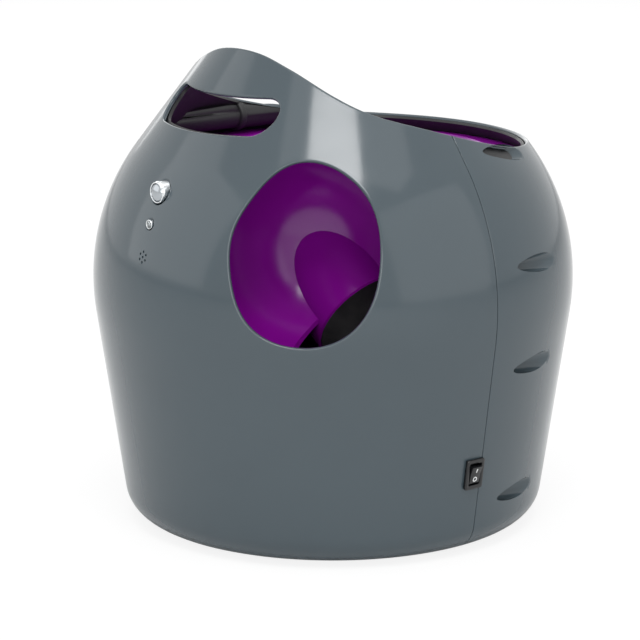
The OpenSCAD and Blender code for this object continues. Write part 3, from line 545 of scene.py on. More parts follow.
def rim_length(side, rim, u, drop=0.0, depth=0.0):
    """Length along the side at which it meets the rim, for each turn."""
    u = np.asarray(u, float)
    low = np.full(u.shape, float(side.at_height(240.0)))
    high = np.full(u.shape, side.end - 0.5)
    for _ in range(45):
        mid = (low + high) / 2
        y = -side.radius(mid, depth) * np.cos(u)
        above = side.height(mid, depth) > np.interp(y, *rim) - drop
        high = np.where(above, mid, high)
        low = np.where(above, low, mid)
    return (low + high) / 2


def walk(points, side, step, closed=False):
    """Points spaced evenly along a line of (turn, length) pairs, by true distance."""
    p = np.vstack([points, points[:1]]) if closed else np.asarray(points, float)
    r = side.radius((p[:-1, 1] + p[1:, 1]) / 2)
    d = np.hypot(np.diff(p[:, 0]) * r, np.diff(p[:, 1]))
    along = np.concatenate([[0], np.cumsum(d)])
    count = max(3, int(round(along[-1] / step)))
    t = np.linspace(0, along[-1], count + 1)
    out = np.column_stack([np.interp(t, along, p[:, 0]), np.interp(t, along, p[:, 1])])
    return out[:-1]


def area(ring):
    """Area of a closed ring, negative where it runs clockwise."""
    x, y = ring[:, 0], ring[:, 1]
    return 0.5 * np.sum(x * np.roll(y, -1) - y * np.roll(x, -1))


def inset(ring, side, distance):
    """Moves a closed ring to its left, into the material, by a true distance or by one
    for each point."""
    distance = np.broadcast_to(distance, len(ring))[:, None]
    r = side.radius(ring[:, 1])[:, None]
    scale = np.hstack([r, np.ones_like(r)])
    before = (ring - np.roll(ring, 1, axis=0)) * scale
    after = (np.roll(ring, -1, axis=0) - ring) * scale
    before /= np.maximum(np.linalg.norm(before, axis=1, keepdims=True), 1e-9)
    after /= np.maximum(np.linalg.norm(after, axis=1, keepdims=True), 1e-9)
    left = np.column_stack([-(before + after)[:, 1], (before + after)[:, 0]])
    size = np.maximum(np.linalg.norm(left, axis=1, keepdims=True), 0.6)
    left = left / size
    left *= 2 / np.maximum(size, 1.2)
    return ring + left * distance / scale


def inside(points, ring):
    """Which points lie inside a closed ring."""
    x, y = points[:, 0], points[:, 1]
    hit = np.zeros(len(points), bool)
    for (ax, ay), (bx, by) in zip(ring, np.roll(ring, -1, axis=0)):
        if ay == by:
            continue
        cross = ((ay > y) != (by > y)) & (x < (bx - ax) * (y - ay) / (by - ay) + ax)
        hit ^= cross
    return hit


def unrolled(us):
    """(turn, length) pairs laid flat, in millimetres."""
    return np.column_stack([us[:, 0] * UNROLL, us[:, 1]])


def fill(edge, holes, lines, step):
    """Triangles over the flat side, inside the edge and outside the holes."""
    rings = [edge] + list(holes) + list(lines)
    fixed = np.vstack(rings)
    chains = []
    start = 0
    for ring in rings:
        n = len(ring)
        chains += [(start + i, start + (i + 1) % n) for i in range(n)]
        start += n
    flat_fixed, flat_edge = unrolled(fixed), unrolled(edge)
    low, high = flat_edge.min(axis=0), flat_edge.max(axis=0)
    rows = np.arange(low[1], high[1], step * 0.87)
    grid = []
    for k, v in enumerate(rows):
        u = np.arange(low[0] + (0.5 * step if k % 2 else 0), high[0], step)
        grid.append(np.column_stack([u, np.full(len(u), v)]))
    grid = np.vstack(grid)
    tree = kdtree.KDTree(len(flat_fixed))
    for i, q in enumerate(flat_fixed):
        tree.insert((q[0], q[1], 0), i)
    tree.balance()
    near = np.array([tree.find((q[0], q[1], 0))[2] for q in grid])
    grid = grid[near > 0.62 * step]
    keep = inside(grid, flat_edge)
    for hole in holes:
        keep &= ~inside(grid, unrolled(hole))
    grid = grid[keep]
    cloud = np.vstack([flat_fixed, grid])
    found = delaunay_2d_cdt([Vector(q) for q in cloud.tolist()], chains, [], 0, 1e-6)
    origin = [o[0] if o else -1 for o in found[3]]
    exact = np.array([cloud[o] if o >= 0 else list(q) for o, q in zip(origin, found[0])])
    triangles = np.array([t for t in found[2] if len(t) == 3])
    middle = exact[triangles].mean(axis=1)
    keep = inside(middle, flat_edge)
    for hole in holes:
        keep &= ~inside(middle, unrolled(hole))
    triangles = triangles[keep]
    a, b, c = (exact[triangles[:, k]] for k in range(3))
    ab, ac = b - a, c - a
    turn = ab[:, 0] * ac[:, 1] - ab[:, 1] * ac[:, 0]
    triangles[turn < 0] = triangles[turn < 0][:, ::-1]
    used, back = np.unique(triangles, return_inverse=True)
    us = exact[used]
    return np.column_stack([us[:, 0] / UNROLL, us[:, 1]]), back.reshape(-1, 3)


def skin(side, edge, edge_lip, holes, hole_lip, wall, step, dents=(), bumps=(), collars=()):
    """A closed wall under the side's surface, with edges rounded by its lips. Dents are holes
    of the outer surface alone, with rows of points that close them. Bumps push the inner
    surface in. Collars join a hole of the outer surface to a wider one of the inner
    surface."""
    build = Build()
    rings = [edge] + [h if area(h) < 0 else h[::-1] for h in holes]
    lips = [edge_lip] + [np.full(len(h), hole_lip) for h in holes]
    tops = [inset(r, side, d) for r, d in zip(rings, lips)]
    lines = [inset(r, side, d + 0.7) for r, d in zip(rings, lips)]
    bend = [math.radians(a) for a in (0, 22.5, 45, 67.5, 90)]
    for ring, top, lip in zip(rings, tops, lips):
        rows = []
        for a in bend:
            us = top + (ring - top) * math.sin(a)
            rows.append(side.place(us, lip * (1 - math.cos(a))))
        for a in bend[::-1]:
            us = top + (ring - top) * math.sin(a)
            rows.append(side.place(us, wall - lip * (1 - math.cos(a))))
        build.strip(rows)
    out_holes = [d[0] if area(d[0]) < 0 else d[0][::-1] for d in dents]
    out_holes += [c[0][0] for c in collars]
    in_holes = [c[0][1] for c in collars]
    us, triangles = fill(tops[0], tops[1:] + out_holes, lines, step)
    build.patch(side.place(us), triangles)
    marks = []
    for ring, _ in bumps:
        marks += [ring, inset(ring if area(ring) > 0 else ring[::-1], side, 0.5)]
    # the inner surface is hardly seen, so its mesh is coarser
    us, triangles = fill(tops[0], tops[1:] + in_holes, lines + marks, step * 1.6)
    points = side.place(us, wall)
    for ring, move in bumps:
        shrunk = inset(ring if area(ring) > 0 else ring[::-1], side, 0.3)
        hit = inside(unrolled(us), unrolled(shrunk))
        points[hit] = move(points[hit])
    build.patch(points, triangles, flip=True)
    for ring, rows in dents:
        rows = [side.place(ring)] + rows
        if area(ring) >= 0:
            rows = [r[::-1] for r in rows]
        build.strip(rows)
        build.cap(rows[-1], flip=True)
    for (out_ring, in_ring), rows in collars:
        build.strip([side.place(out_ring)] + rows + [side.place(in_ring, wall)])
    return build


def edge_lips(edge, side, rim, lip):
    """Rounding along a shell's edge: full at the rim, finer down the seam."""
    below = rim_length(side, rim, edge[:, 0]) - edge[:, 1]
    return np.interp(below, (0.5, 6.0), (lip, 0.45))


# ---------------------------------------------------------------- shapes on the housing

def bowl_centre(o):
    """Middle of the ball that the bowl behind the opening is part of."""
    return np.array([BOWL_REACH * math.sin(o.turn), -BOWL_REACH * math.cos(o.turn), BOWL_Z])


def chute_direction(o):
    """Down along the straight part of the feed chute."""
    return np.array([math.cos(o.chute_slope), 0, -math.sin(o.chute_slope)])


def speaker_hole(i):
    """Place of one of the speaker's seven holes, as x and z: one in the middle of six."""
    turn = (i + 0.5) * math.pi / 3
    reach = 3.4 if i else 0.0
    return reach * math.cos(turn), SPEAKER_Z + reach * math.sin(turn)


def window_ring(side, o):
    """Outline of the launch opening: an ellipse whose four corners swell unevenly."""
    a = full_turn(150)
    w, t = o.width / MM / 2, o.height / MM / 2
    r = 1 / np.sqrt((np.cos(a) / w) ** 2 + (np.sin(a) / t) ** 2)
    r *= 1 + np.sin(2 * a) ** 2 * (0.013 - 0.044 * np.sin(a) + 0.021 * np.cos(a)
                                   + 0.021 * np.sin(2 * a))
    s = side.at_height(r * np.sin(a) + o.centre_z / MM)
    return np.column_stack([o.turn + np.arcsin((r * np.cos(a) - 1) / side.radius(s)), s])


def slot_ring(side, o, grow=0.0, depth=0.0):
    """Outline of the finger slot: round ends and a slightly bowed middle line."""
    r = o.slot_height / MM / 2 + grow
    x, bow = o.slot_width / MM / 2 - o.slot_height / MM / 2, o.slot_bow / MM
    ends = np.linspace(0, math.pi, 21)[1:-1]
    line = []
    for hand in (1, -1):
        # lower edge and right end, then upper edge and left end
        t = np.linspace(-hand, hand, 25)
        turn = np.arctan2(2 * bow * t, x) - hand * math.pi / 2
        t = np.concatenate([t, np.full(len(ends), float(hand))])
        turn = np.concatenate([turn, turn[-1] + ends])
        line.append(np.column_stack([t * x + r * np.cos(turn),
                                     bow * t * t + r * np.sin(turn)]))
    line = np.vstack(line)
    us = side.from_xz(line[:, 0], line[:, 1] + o.slot_z / MM, depth)
    return walk(us, side, 2.0, closed=True)


def screw_x(side, z0):
    """Distance of a shell screw from the middle, at its height."""
    lean = np.interp(side.at_height(z0), side.s, side.table[:, 2])
    return side.reach(z0) - SCOOP_SINK / lean


def scoop(side, h, z0, hand):
    """Outline of a screw scoop on the surface and its rows down to the screw's seat."""
    r = h.scoop_radius / MM
    x0 = screw_x(side, z0)
    a = np.linspace(0, 2 * math.pi, 721)[:-1]
    x, z = x0 + r * np.cos(a), z0 + r * np.sin(a)
    line = np.column_stack([x, side.across(x, z), z])
    d = np.linalg.norm(np.roll(line, -1, axis=0) - line, axis=1)
    gone = np.concatenate([[0], np.cumsum(d)])
    # 72 points, evenly spaced along the outline instead of around the screw
    pick = np.interp(np.linspace(0, gone[-1], 73)[:-1], gone, np.arange(len(a) + 1))
    a = pick * 2 * math.pi / len(a)
    x, z = x0 + r * np.cos(a), z0 + r * np.sin(a)
    y = side.across(x, z)
    ring = side.from_yz(y, z, hand)
    tight = 0.92        # the seat's edge against the scoop's radius
    rows = []
    for t in (0.02, 0.3, 0.65, 1.0):
        rows.append(np.column_stack([hand * x, y + (SCOOP_FRONT - y) * t, z]))
    xs, zs = x0 + (x - x0) * tight, z0 + (z - z0) * tight
    rows.append(np.column_stack([hand * xs, np.full(len(x), SCOOP_FRONT - 0.4), zs]))
    return ring, rows


def scoop_bump(side, h, z0, hand, wall):
    """Back of a screw scoop as a bump of the inner surface."""
    x0, thick = screw_x(side, z0), 2.4
    r = h.scoop_radius / MM + thick
    dz = np.linspace(-r * 0.98, r * 0.98, 25)
    floor = x0 - np.sqrt(r * r - dz * dz)
    far = side.across(floor, z0 + dz, wall)
    y = np.concatenate([far, np.full(len(dz), SCOOP_FRONT - thick)])
    z = np.concatenate([z0 + dz, (z0 + dz)[::-1]])
    ring = walk(side.from_yz(y, z, hand, wall), side, 2.2, closed=True)

    def move(points):
        out = points.copy()
        depth = x0 - np.sqrt(np.maximum(r * r - (points[:, 2] - z0) ** 2, 0))
        out[:, 0] = hand * np.minimum(np.abs(points[:, 0]), depth)
        return out
    return ring, move


def knob_dent(side, radius):
    """Round recess of the angle knob: its outline and its rows down to the floor."""
    a = full_turn(90)
    y, z = KNOB_Y + radius * np.cos(a), KNOB_Z + radius * np.sin(a)
    x = -side.across(y, z)
    rows = []
    for t, k in ((0.1, 1.0), (0.9, 1.0), (1.0, 0.985)):
        rows.append(np.column_stack([x + (KNOB_FLOOR - x) * t, KNOB_Y + (y - KNOB_Y) * k,
                                     KNOB_Z + (z - KNOB_Z) * k]))
    return side.from_yz(y, z, -1), rows


def knob_bump(side, radius, wall):
    """Back of the knob's recess as a bump of the inner surface."""
    a = full_turn(72)
    y, z = KNOB_Y + radius * np.cos(a), KNOB_Z + radius * np.sin(a)

    def move(points):
        out = points.copy()
        out[:, 0] = np.maximum(points[:, 0], KNOB_FLOOR + wall)
        return out
    return side.from_yz(y, z, -1, wall), move


def round_corners(left, right, low, high, radius, steps):
    """Points of a rectangle with round corners, from its upper right one."""
    out = []
    for cx, cz, start in ((right - radius, high - radius, 0),
                          (left + radius, high - radius, 90),
                          (left + radius, low + radius, 180),
                          (right - radius, low + radius, 270)):
        for a in np.radians(np.linspace(start, start + 90, steps)):
            out.append((cx + radius * math.cos(a), cz + radius * math.sin(a)))
    return np.array(out)


def panel_rect(grow):
    """Outline of the back's panel, as evenly spaced x and z."""
    half = PANEL_HALF + grow
    line = round_corners(-half, half, PANEL_LOW - grow, PANEL_HIGH + grow, 3.0 + grow, 7)
    line = np.vstack([line, line[:1]])
    d = np.concatenate([[0], np.cumsum(np.linalg.norm(np.diff(line, axis=0), axis=1))])
    t = np.linspace(0, d[-1], 131)[:-1]
    return np.interp(t, d, line[:, 0]), np.interp(t, d, line[:, 1])


# ---------------------------------------------------------------- operators: housing

class BuildFrontShell(bpy.types.Operator):
    """Front half of the housing with the handle, the opening and the finger slot"""
    bl_idname = "launcher.front_shell"
    bl_label = "Front Shell"

    def execute(self, context):
        h, o = context.scene.launcher_housing, context.scene.launcher_opening
        side, rim = Side(h), rim_line(h)
        gap, wall, lip = h.seam_gap / MM / 2, h.wall / MM, h.lip / MM

        def reach(s):
            return math.pi / 2 - np.arcsin(gap / side.radius(s))

        def notch(s):
            return np.arccos(13.3 / side.radius(s))

        # edge: along the bottom, up the right seam, over the handle and down the left seam;
        # the switch's notch reaches 13.3 forward of the seam and 9.6 up and down
        top_s = float(rim_length(side, rim, math.pi / 2 - 0.002))
        s0, s1 = (float(side.at_height(SWITCH_Z + d)) for d in (-9.6, 9.6))
        up = []
        for a, b, f in ((0.0, s0, reach), (s0, s1, notch), (s1, top_s, reach)):
            s = np.linspace(a, b, max(8, int((b - a) / 2.2)))
            up.append(np.column_stack([f(s), s]))
        left_s = np.linspace(top_s, 0.0, int(top_s / 2.2))
        down = np.column_stack([-reach(left_s), left_s])
        bottom = np.column_stack([np.linspace(-reach(0.0), reach(0.0), 160),
                                  np.zeros(160)])[1:-1]
        turn = np.linspace(reach(top_s), -reach(top_s), 700)[1:-1]
        over = walk(np.column_stack([turn, rim_length(side, rim, turn)]), side, 2.0)
        edge = np.vstack([bottom, *up, over, down])
        # points that nearly share a place go; 150 is the side's rough radius
        d = np.linalg.norm((edge - np.roll(edge, 1, axis=0)) * [150, 1], axis=1)
        edge = edge[d > 0.25]
        lips = edge_lips(edge, side, rim, lip)
        # the opening, the finger slot, and the holes of the sensor and the lamp
        holes = [window_ring(side, o), slot_ring(side, o)]
        for z, r, count in ((SENSOR_Z, 7.6, 40), (LAMP_Z, 3.4, 24)):
            a = full_turn(count)
            holes.append(side.from_xz(r * np.cos(a), z + r * np.sin(a)))
        # the speaker's holes are blind, 2.4 deep, because the gauze lies right behind them
        dents = []
        a, r, y = -full_turn(18), SPEAKER_HOLE, 2.4 - side.reach(SPEAKER_Z)
        for i in range(7):
            x, z = speaker_hole(i)
            ring = side.from_xz(x + (r + 0.02) * np.cos(a), z + (r + 0.02) * np.sin(a))
            dents.append((ring, [np.column_stack([x + r * np.cos(a), np.full(len(a), y),
                                                  z + r * np.sin(a)])]))
        dents.append(knob_dent(side, 19.0))
        bumps = [knob_bump(side, 21.5, wall)]
        made = skin(side, edge, lips, holes, lip, wall, h.mesh_step / MM, dents, bumps)
        made.piece("front_shell_skin", "housing", "housing", ("front_shell",), sharp=38)
        return {"FINISHED"}


class BuildRearShell(bpy.types.Operator):
    """Rear half of the housing with the screw scoops and the recess of the controls"""
    bl_idname = "launcher.rear_shell"
    bl_label = "Rear Shell"

    def execute(self, context):
        h = context.scene.launcher_housing
        side, rim = Side(h), rim_line(h)
        gap, wall, lip = h.seam_gap / MM / 2, h.wall / MM, h.lip / MM

        def low(s):
            return math.pi / 2 + np.arcsin(gap / side.radius(s))

        top_s = float(rim_length(side, rim, math.pi / 2 + 0.002))
        s = np.linspace(0, top_s, int(top_s / 2.2))
        left = np.column_stack([low(s), s])[::-1]
        right = np.column_stack([2 * math.pi - low(s), s])
        bottom = np.column_stack([np.linspace(low(0.0), 2 * math.pi - low(0.0), 160),
                                  np.zeros(160)])[1:-1]
        turn = np.linspace(2 * math.pi - low(top_s), low(top_s), 500)[1:-1]
        over = walk(np.column_stack([turn, rim_length(side, rim, turn)]), side, 2.0)
        edge = np.vstack([bottom, right, over, left])
        dents, bumps = [], []
        for z in SCOOP_Z:
            for hand in (1, -1):
                ring, rows = scoop(side, h, z, hand)
                bump_ring, move = scoop_bump(side, h, z, hand, wall)
                if hand < 0:
                    ring[:, 0] += 2 * math.pi
                    bump_ring[:, 0] += 2 * math.pi
                dents.append((ring, rows))
                bumps.append((bump_ring, move))
        x, z = panel_rect(0.0)
        out_ring = self.back(side, x, z, 0.0)
        wx, wz = panel_rect(3.0)
        in_ring = self.back(side, wx, wz, wall)
        rows = [np.column_stack([a, np.full(len(x), PANEL_BACK), b])
                for a, b in ((x, z), (wx, wz))]
        if area(out_ring) > 0:
            out_ring, in_ring = out_ring[::-1], in_ring[::-1]
            rows = [r[::-1] for r in rows]
        collars = [((out_ring, in_ring), rows)]
        lips = edge_lips(edge, side, rim, lip)
        made = skin(side, edge, lips, [], lip, wall, h.mesh_step / MM, dents, bumps, collars)
        made.piece("rear_shell_skin", "housing", "housing", ("rear_shell",), sharp=38)
        return {"FINISHED"}

    @staticmethod
    def back(side, x, z, depth):
        """(turn, length) of the point of the back with this x and z."""
        s = side.at_height(z, depth)
        u = math.pi - np.arcsin(x / side.radius(s, depth))
        return np.column_stack([u, s])


class BuildLiner(bpy.types.Operator):
    """Black liner behind the rim and up the inside of the handle"""
    bl_idname = "launcher.liner"
    bl_label = "Hopper Liner"

    def execute(self, context):
        h, o = context.scene.launcher_housing, context.scene.launcher_opening
        side, rim = Side(h), rim_line(h)
        outer, inner = h.wall / MM + 0.4, h.wall / MM + 2.6
        turn = np.linspace(math.pi, -math.pi, 721)
        top = np.column_stack([turn, rim_length(side, rim, turn, 2.0, outer)])
        top = np.vstack([walk(top, side, 2.0), top[-1:]])
        # its lower edge stands on the deck and on the bowl
        deck = o.deck_z / MM + 0.3
        bowl = bowl_centre(o)
        u = np.linspace(-math.pi, math.pi, 361)
        z = np.linspace(deck, 300, 260)
        s = side.at_height(z, inner)
        low = []
        for a in u:
            p = side.place(np.column_stack([np.full(len(s), a), s]), inner)
            near = np.linalg.norm(p - bowl, axis=1) < o.bowl_radius / MM + 5.6
            hit = np.nonzero(near)[0]
            low.append(float(side.at_height(z[hit[-1]] + 0.6 if len(hit) else deck, inner)))
        low = np.array(low)
        for _ in range(4):
            low[1:-1] = (low[:-2] + 2 * low[1:-1] + low[2:]) / 4
        bottom = walk(np.column_stack([u, low]), side, 2.2)
        bottom = np.vstack([bottom, [[math.pi, low[-1]]]])
        ends = np.linspace(0, 1, 6)[1:-1]
        rise = low[-1] + (top[0, 1] - low[-1]) * ends
        right = np.column_stack([np.full(len(rise), math.pi), rise])
        left = np.column_stack([np.full(len(rise), -math.pi), rise[::-1]])
        edge = np.vstack([bottom, right, top, left])
        hole = slot_ring(side, o, 0.6, outer)
        build = Build()
        us, triangles = fill(edge, [hole], [], 3.2)
        build.patch(side.place(us, outer), triangles)
        build.patch(side.place(us, inner), triangles, flip=True)
        if area(hole) > 0:
            hole = hole[::-1]
        build.strip([side.place(hole, outer), side.place(hole, inner)])
        for line, lift in ((bottom, -0.6), (top, 0.8)):
            mid = side.place(line, (outer + inner) / 2)
            mid[:, 2] += lift
            build.strip([side.place(line, outer), mid, side.place(line, inner)], closed=False)
        self.sleeve(build, side, rim, 1, -27, outer + 1.1)
        self.sleeve(build, side, rim, -1, -48, outer + 1.1)
        build.piece("hopper_liner", "black_plastic", "housing", ("hopper_collar",), sharp=50)
        return {"FINISHED"}

    @staticmethod
    def sleeve(build, side, rim, hand, front, depth):
        """Sleeve over the uppermost screw post, laid inside the wall and under the rim."""
        z0 = SCOOP_Z[3]
        x0 = screw_x(side, z0)
        # radius and y: a round front, a ring at the seam, and a round end
        profile = [(0, front - 2.6), (7.4, front - 2.2), (8.6, front - 1), (8.9, front + 1),
                   (9.1, 8.4), (10.5, 9.0), (10.8, 9.6), (10.8, 12.8), (10.4, 13.6),
                   (9.7, 14.0), (9.7, 58), (8.8, 64), (6.0, 67), (0, 67.6)]
        rows = []
        for r, y in profile:
            p = circle((x0, y, z0), (1, 0, 0), (0, 0, -1), r, 72)
            p[:, 2] = np.minimum(p[:, 2], np.interp(y, *rim) - 2.0)
            p[:, 0] = hand * np.minimum(p[:, 0], side.across(y, p[:, 2], depth))
            rows.append(p[::-hand])
        build.strip(rows)


class BuildHopper(bpy.types.Operator):
    """Purple deck, funnel and the hump over the bowl, as one sheet"""
    bl_idname = "launcher.hopper"
    bl_label = "Hopper Bowl"

    def execute(self, context):
        h, o = context.scene.launcher_housing, context.scene.launcher_opening
        side = Side(h)
        deck = o.deck_z / MM
        elbow = SEAT - CHUTE_LENGTH * chute_direction(o)
        bowl = bowl_centre(o)
        reach = o.bowl_radius / MM + 5.3
        liner = 5.9         # depth of the liner's inside under the surface, with a gap
        count = 200
        a = full_turn(count)
        ray = np.column_stack([np.cos(a), np.sin(a)])
        # each ray of the deck ends at the liner, or where the liner stands on the bowl
        z = np.linspace(deck, 298, 400)
        r = side.radius(side.at_height(z, liner), liner)
        out_xy = []
        for d in ray:
            p = np.column_stack([d[0] * r, d[1] * r, z])
            near = np.nonzero(np.linalg.norm(p - bowl, axis=1) < reach)[0]
            out_xy.append(p[near[-1]][:2] if len(near) else p[0][:2])
        out_xy = np.array(out_xy)
        rows = []
        # the funnel, from the chute's circle up to a wide one: x, y, radius and height
        low = np.array([elbow[0], elbow[1], o.chute_radius / MM, 222.0])
        high = np.array([-16.0, 32.0, 94.0, deck])
        for t in np.linspace(0, 1, 22):
            x, y, r, z = low * (1 - t) + high * t
            rows.append(np.column_stack([np.array([x, y]) + ray * r, np.full(count, z)]))
        edge_xy = high[:2] + ray * high[2]
        for t in np.linspace(0, 1, 30)[1:]:
            xy = edge_xy * (1 - t) + out_xy * t
            rows.append(np.column_stack([xy, np.full(count, deck)]))
        top = np.array(rows)
        # soften the funnel's edge and drape the deck over the bowl
        for _ in range(6):
            top[1:-1, :, 2] = (top[:-2, :, 2] + 2 * top[1:-1, :, 2] + top[2:, :, 2]) / 4
        under = self.draped(top - [0, 0, SHEET_WALL], bowl, reach - SHEET_WALL)
        top = self.draped(top, bowl, reach)
        build = Build()
        build.strip(list(top) + list(under[::-1]) + [top[0]])
        build.piece("hopper_bowl_sheet", "purple_plastic", "housing", ("hopper_bowl",),
                    sharp=60)
        return {"FINISHED"}

    @staticmethod
    def draped(sheet, ball, radius):
        """The sheet laid over a ball, with a soft fillet where they meet."""
        blend = 5.0
        d = np.hypot(sheet[:, :, 0] - ball[0], sheet[:, :, 1] - ball[1])
        dome = ball[2] + np.sqrt(np.maximum(radius ** 2 - d ** 2, 0)) * (d < radius)
        gap = dome - sheet[:, :, 2]
        out = sheet.copy()
        out[:, :, 2] = np.where(gap > blend, dome,
                                np.where(gap > -blend,
                                         sheet[:, :, 2] + (gap + blend) ** 2 / (4 * blend),
                                         sheet[:, :, 2]))
        return out


class BuildChute(bpy.types.Operator):
    """Purple feed tube from the hopper to the ball seat"""
    bl_idname = "launcher.chute"
    bl_label = "Feed Chute"

    def execute(self, context):
        o = context.scene.launcher_opening
        slope, down = o.chute_slope, chute_direction(o)
        mouth, elbow = SEAT - 50 * down, SEAT - CHUTE_LENGTH * down
        bend = 46.0         # radius of the elbow's middle line
        ri = o.chute_radius / MM
        cut = bend * math.tan((math.pi / 2 - slope) / 2)
        path = [(mouth, -down)]
        for t in (0.1, 0.3, 0.6, 0.9):
            path.append((mouth + (elbow + down * cut - mouth) * t, -down))
        centre = elbow + np.array([0, 0, cut]) + np.array([bend, 0, 0])
        for a in np.linspace(0, math.pi / 2 - slope, 14):
            # from the chute's direction to straight up
            b = math.pi / 2 - slope - a
            path.append((centre + bend * np.array([-math.cos(b), 0, -math.sin(b)]),
                         np.array([-math.sin(b), 0, math.cos(b)])))
        path.append((np.array([elbow[0], elbow[1], 223.6]), np.array([0.0, 0, 1])))
        self.tube("feed_chute_tube", "purple_plastic", path, ri, ri + SHEET_WALL,
                  ("feed_chute",))
        # the tube's inside lies in shade: a thin black sleeve, from behind the lip down the
        # straight part, paints that shade into the mouth
        painted_shade_path = [(mouth - 2.5 * down, -down)] + path[1:5]
        self.tube("feed_chute_painted_shade", "black_rubber", painted_shade_path, ri - 0.5, ri + 0.8)
        return {"FINISHED"}

    @staticmethod
    def tube(name, finish, path, ri, ro, nodes=()):
        """A tube along a path of (point, direction) pairs with a rounded lip at its start."""
        a = full_turn(96)
        level = np.array([0.0, 1, 0])
        rows_out, rows_in = [], []
        for p, d in path:
            shape = np.outer(np.cos(a), level) + np.outer(np.sin(a), np.cross(d, level))
            rows_out.append(p + shape * ro)
            rows_in.append(p + shape * ri)
        lip = [(rows_out[0] + rows_in[0]) / 2 - path[0][1] * (ro - ri) * 0.4]
        loop = lip + rows_out + rows_in[::-1] + lip
        build = Build()
        build.strip([r[::-1] for r in loop])
        build.piece(name, finish, "housing", nodes, sharp=50)


class BuildBowl(bpy.types.Operator):
    """Purple bowl behind the launch opening, trimmed to the shell"""
    bl_idname = "launcher.bowl"
    bl_label = "Launch Bowl"

    def execute(self, context):
        h, o = context.scene.launcher_housing, context.scene.launcher_opening
        side = Side(h)
        bowl = bowl_centre(o)
        ahead = np.array([math.sin(o.turn), -math.cos(o.turn), 0])
        across = np.array([math.cos(o.turn), math.sin(o.turn), 0])
        depth = h.wall / MM + 0.4
        a = full_turn(160)
        spokes = np.outer(np.cos(a), across) + np.outer(np.sin(a), [0, 0, 1.0])
        b = np.radians(np.linspace(0.5, 150, 600))
        layers = []
        for radius in (o.bowl_radius / MM, o.bowl_radius / MM + SHEET_WALL):
            # each spoke runs from the bowl's back to the inside of the shell
            stops = []
            for spoke in spokes:
                p = bowl + radius * (-np.outer(np.cos(b), ahead) + np.outer(np.sin(b), spoke))
                limit = side.radius(side.at_height(p[:, 2], depth), depth)
                out = np.nonzero(np.hypot(p[:, 0], p[:, 1]) > limit)[0]
                stops.append(b[out[0]] if len(out) else b[-1])
            stops = np.array(stops)
            layer = []
            for k in range(1, 61):
                swing = (stops * (k / 60))[:, None]
                layer.append(bowl + radius * (-np.cos(swing) * ahead + np.sin(swing) * spokes))
            layers.append(layer)
        build = Build()
        inner, outer = layers
        build.strip(inner)
        build.cap(inner[0])
        build.strip([r[::-1] for r in outer])
        build.cap(outer[0][::-1])
        build.strip([inner[-1], outer[-1]])
        piece = build.bare("launch_bowl")
        self.cut(piece, o)
        dress(piece, "purple_plastic", "housing", ("launch_bay",), sharp=40)
        return {"FINISHED"}

    @staticmethod
    def cut(piece, o):
        """Holes for the chute and the launcher."""
        launch = math.radians(LAUNCH_ANGLE)
        ahead = np.array([0, -math.cos(launch), math.sin(launch)])
        for radius, reach, start, way in (
                (o.chute_radius / MM + SHEET_WALL + 0.3, 150, SEAT, -chute_direction(o)),
                (46, 80, SEAT - 10 * ahead, ahead)):
            profile = [(0, 0), (radius, 0), (radius, reach), (0, reach)]
            carve(piece, turned(profile, start, way, 96).bare("cutter"))


def bake(piece):
    """Applies a piece's modifiers, so that it is a plain mesh."""
    graph = bpy.context.evaluated_depsgraph_get()
    made = bpy.data.meshes.new_from_object(piece.evaluated_get(graph), depsgraph=graph)
    piece.modifiers.clear()
    old = piece.data
    piece.data = made
    made.shade_smooth()
    made.set_sharp_from_angle(angle=math.radians(38))
    bpy.data.meshes.remove(old)


def carve(piece, cutter):
    """Takes another piece's shape out of a piece and deletes that other piece."""
    change = piece.modifiers.new("cut", "BOOLEAN")
    change.object = cutter
    change.operation = "DIFFERENCE"
    change.solver = "EXACT"
    bake(piece)
    bpy.data.objects.remove(cutter)


# ---------------------------------------------------------------- smaller pieces

def along(origin, direction):
    """Matrix that puts local X along a direction and local Z upward, in millimetres."""
    x = Vector(direction).normalized()
    y = Vector((0, 0, 1)).cross(x).normalized()
    z = x.cross(y)
    turn = Matrix((x, y, z)).transposed().to_4x4()
    return Matrix.Translation(Vector(origin)) @ turn


def moved(points, matrix):
    """Points put in place by a matrix."""
    m = np.array(matrix)
    return np.asarray(points, float) @ m[:3, :3].T + m[:3, 3]


def prism(name, outline, low, high, matrix, bevel=0.0):
    """An outline in local Y and Z, raised along local X, with rounded edges."""
    outline = np.asarray(outline, float)
    if area(outline) < 0:
        outline = outline[::-1]
    n = len(outline)
    points = np.vstack([np.column_stack([np.full(n, x), outline]) for x in (low, high)])
    faces = [tuple(range(n))[::-1], tuple(range(n, 2 * n))]
    faces += [(i, (i + 1) % n, n + (i + 1) % n, n + i) for i in range(n)]
    piece = add_piece(name, moved(points, matrix), faces)
    if bevel:
        edge = piece.modifiers.new("bevel", "BEVEL")
        edge.width = bevel * MM
        edge.segments = 3
        edge.limit_method = "ANGLE"
        edge.angle_limit = math.radians(35)
        bake(piece)
    return piece


def block(width, height, corner, centre=(0, 0), steps=6):
    """Rectangle with round corners about a centre."""
    w, h = width / 2, height / 2
    return round_corners(-w, w, -h, h, corner, steps) + centre


def join(first, *others):
    """Adds other pieces' meshes to the first piece's."""
    whole = bmesh.new()
    for piece in (first,) + others:
        whole.from_mesh(piece.data)
    whole.to_mesh(first.data)
    whole.free()
    for piece in others:
        bpy.data.objects.remove(piece)
    return first


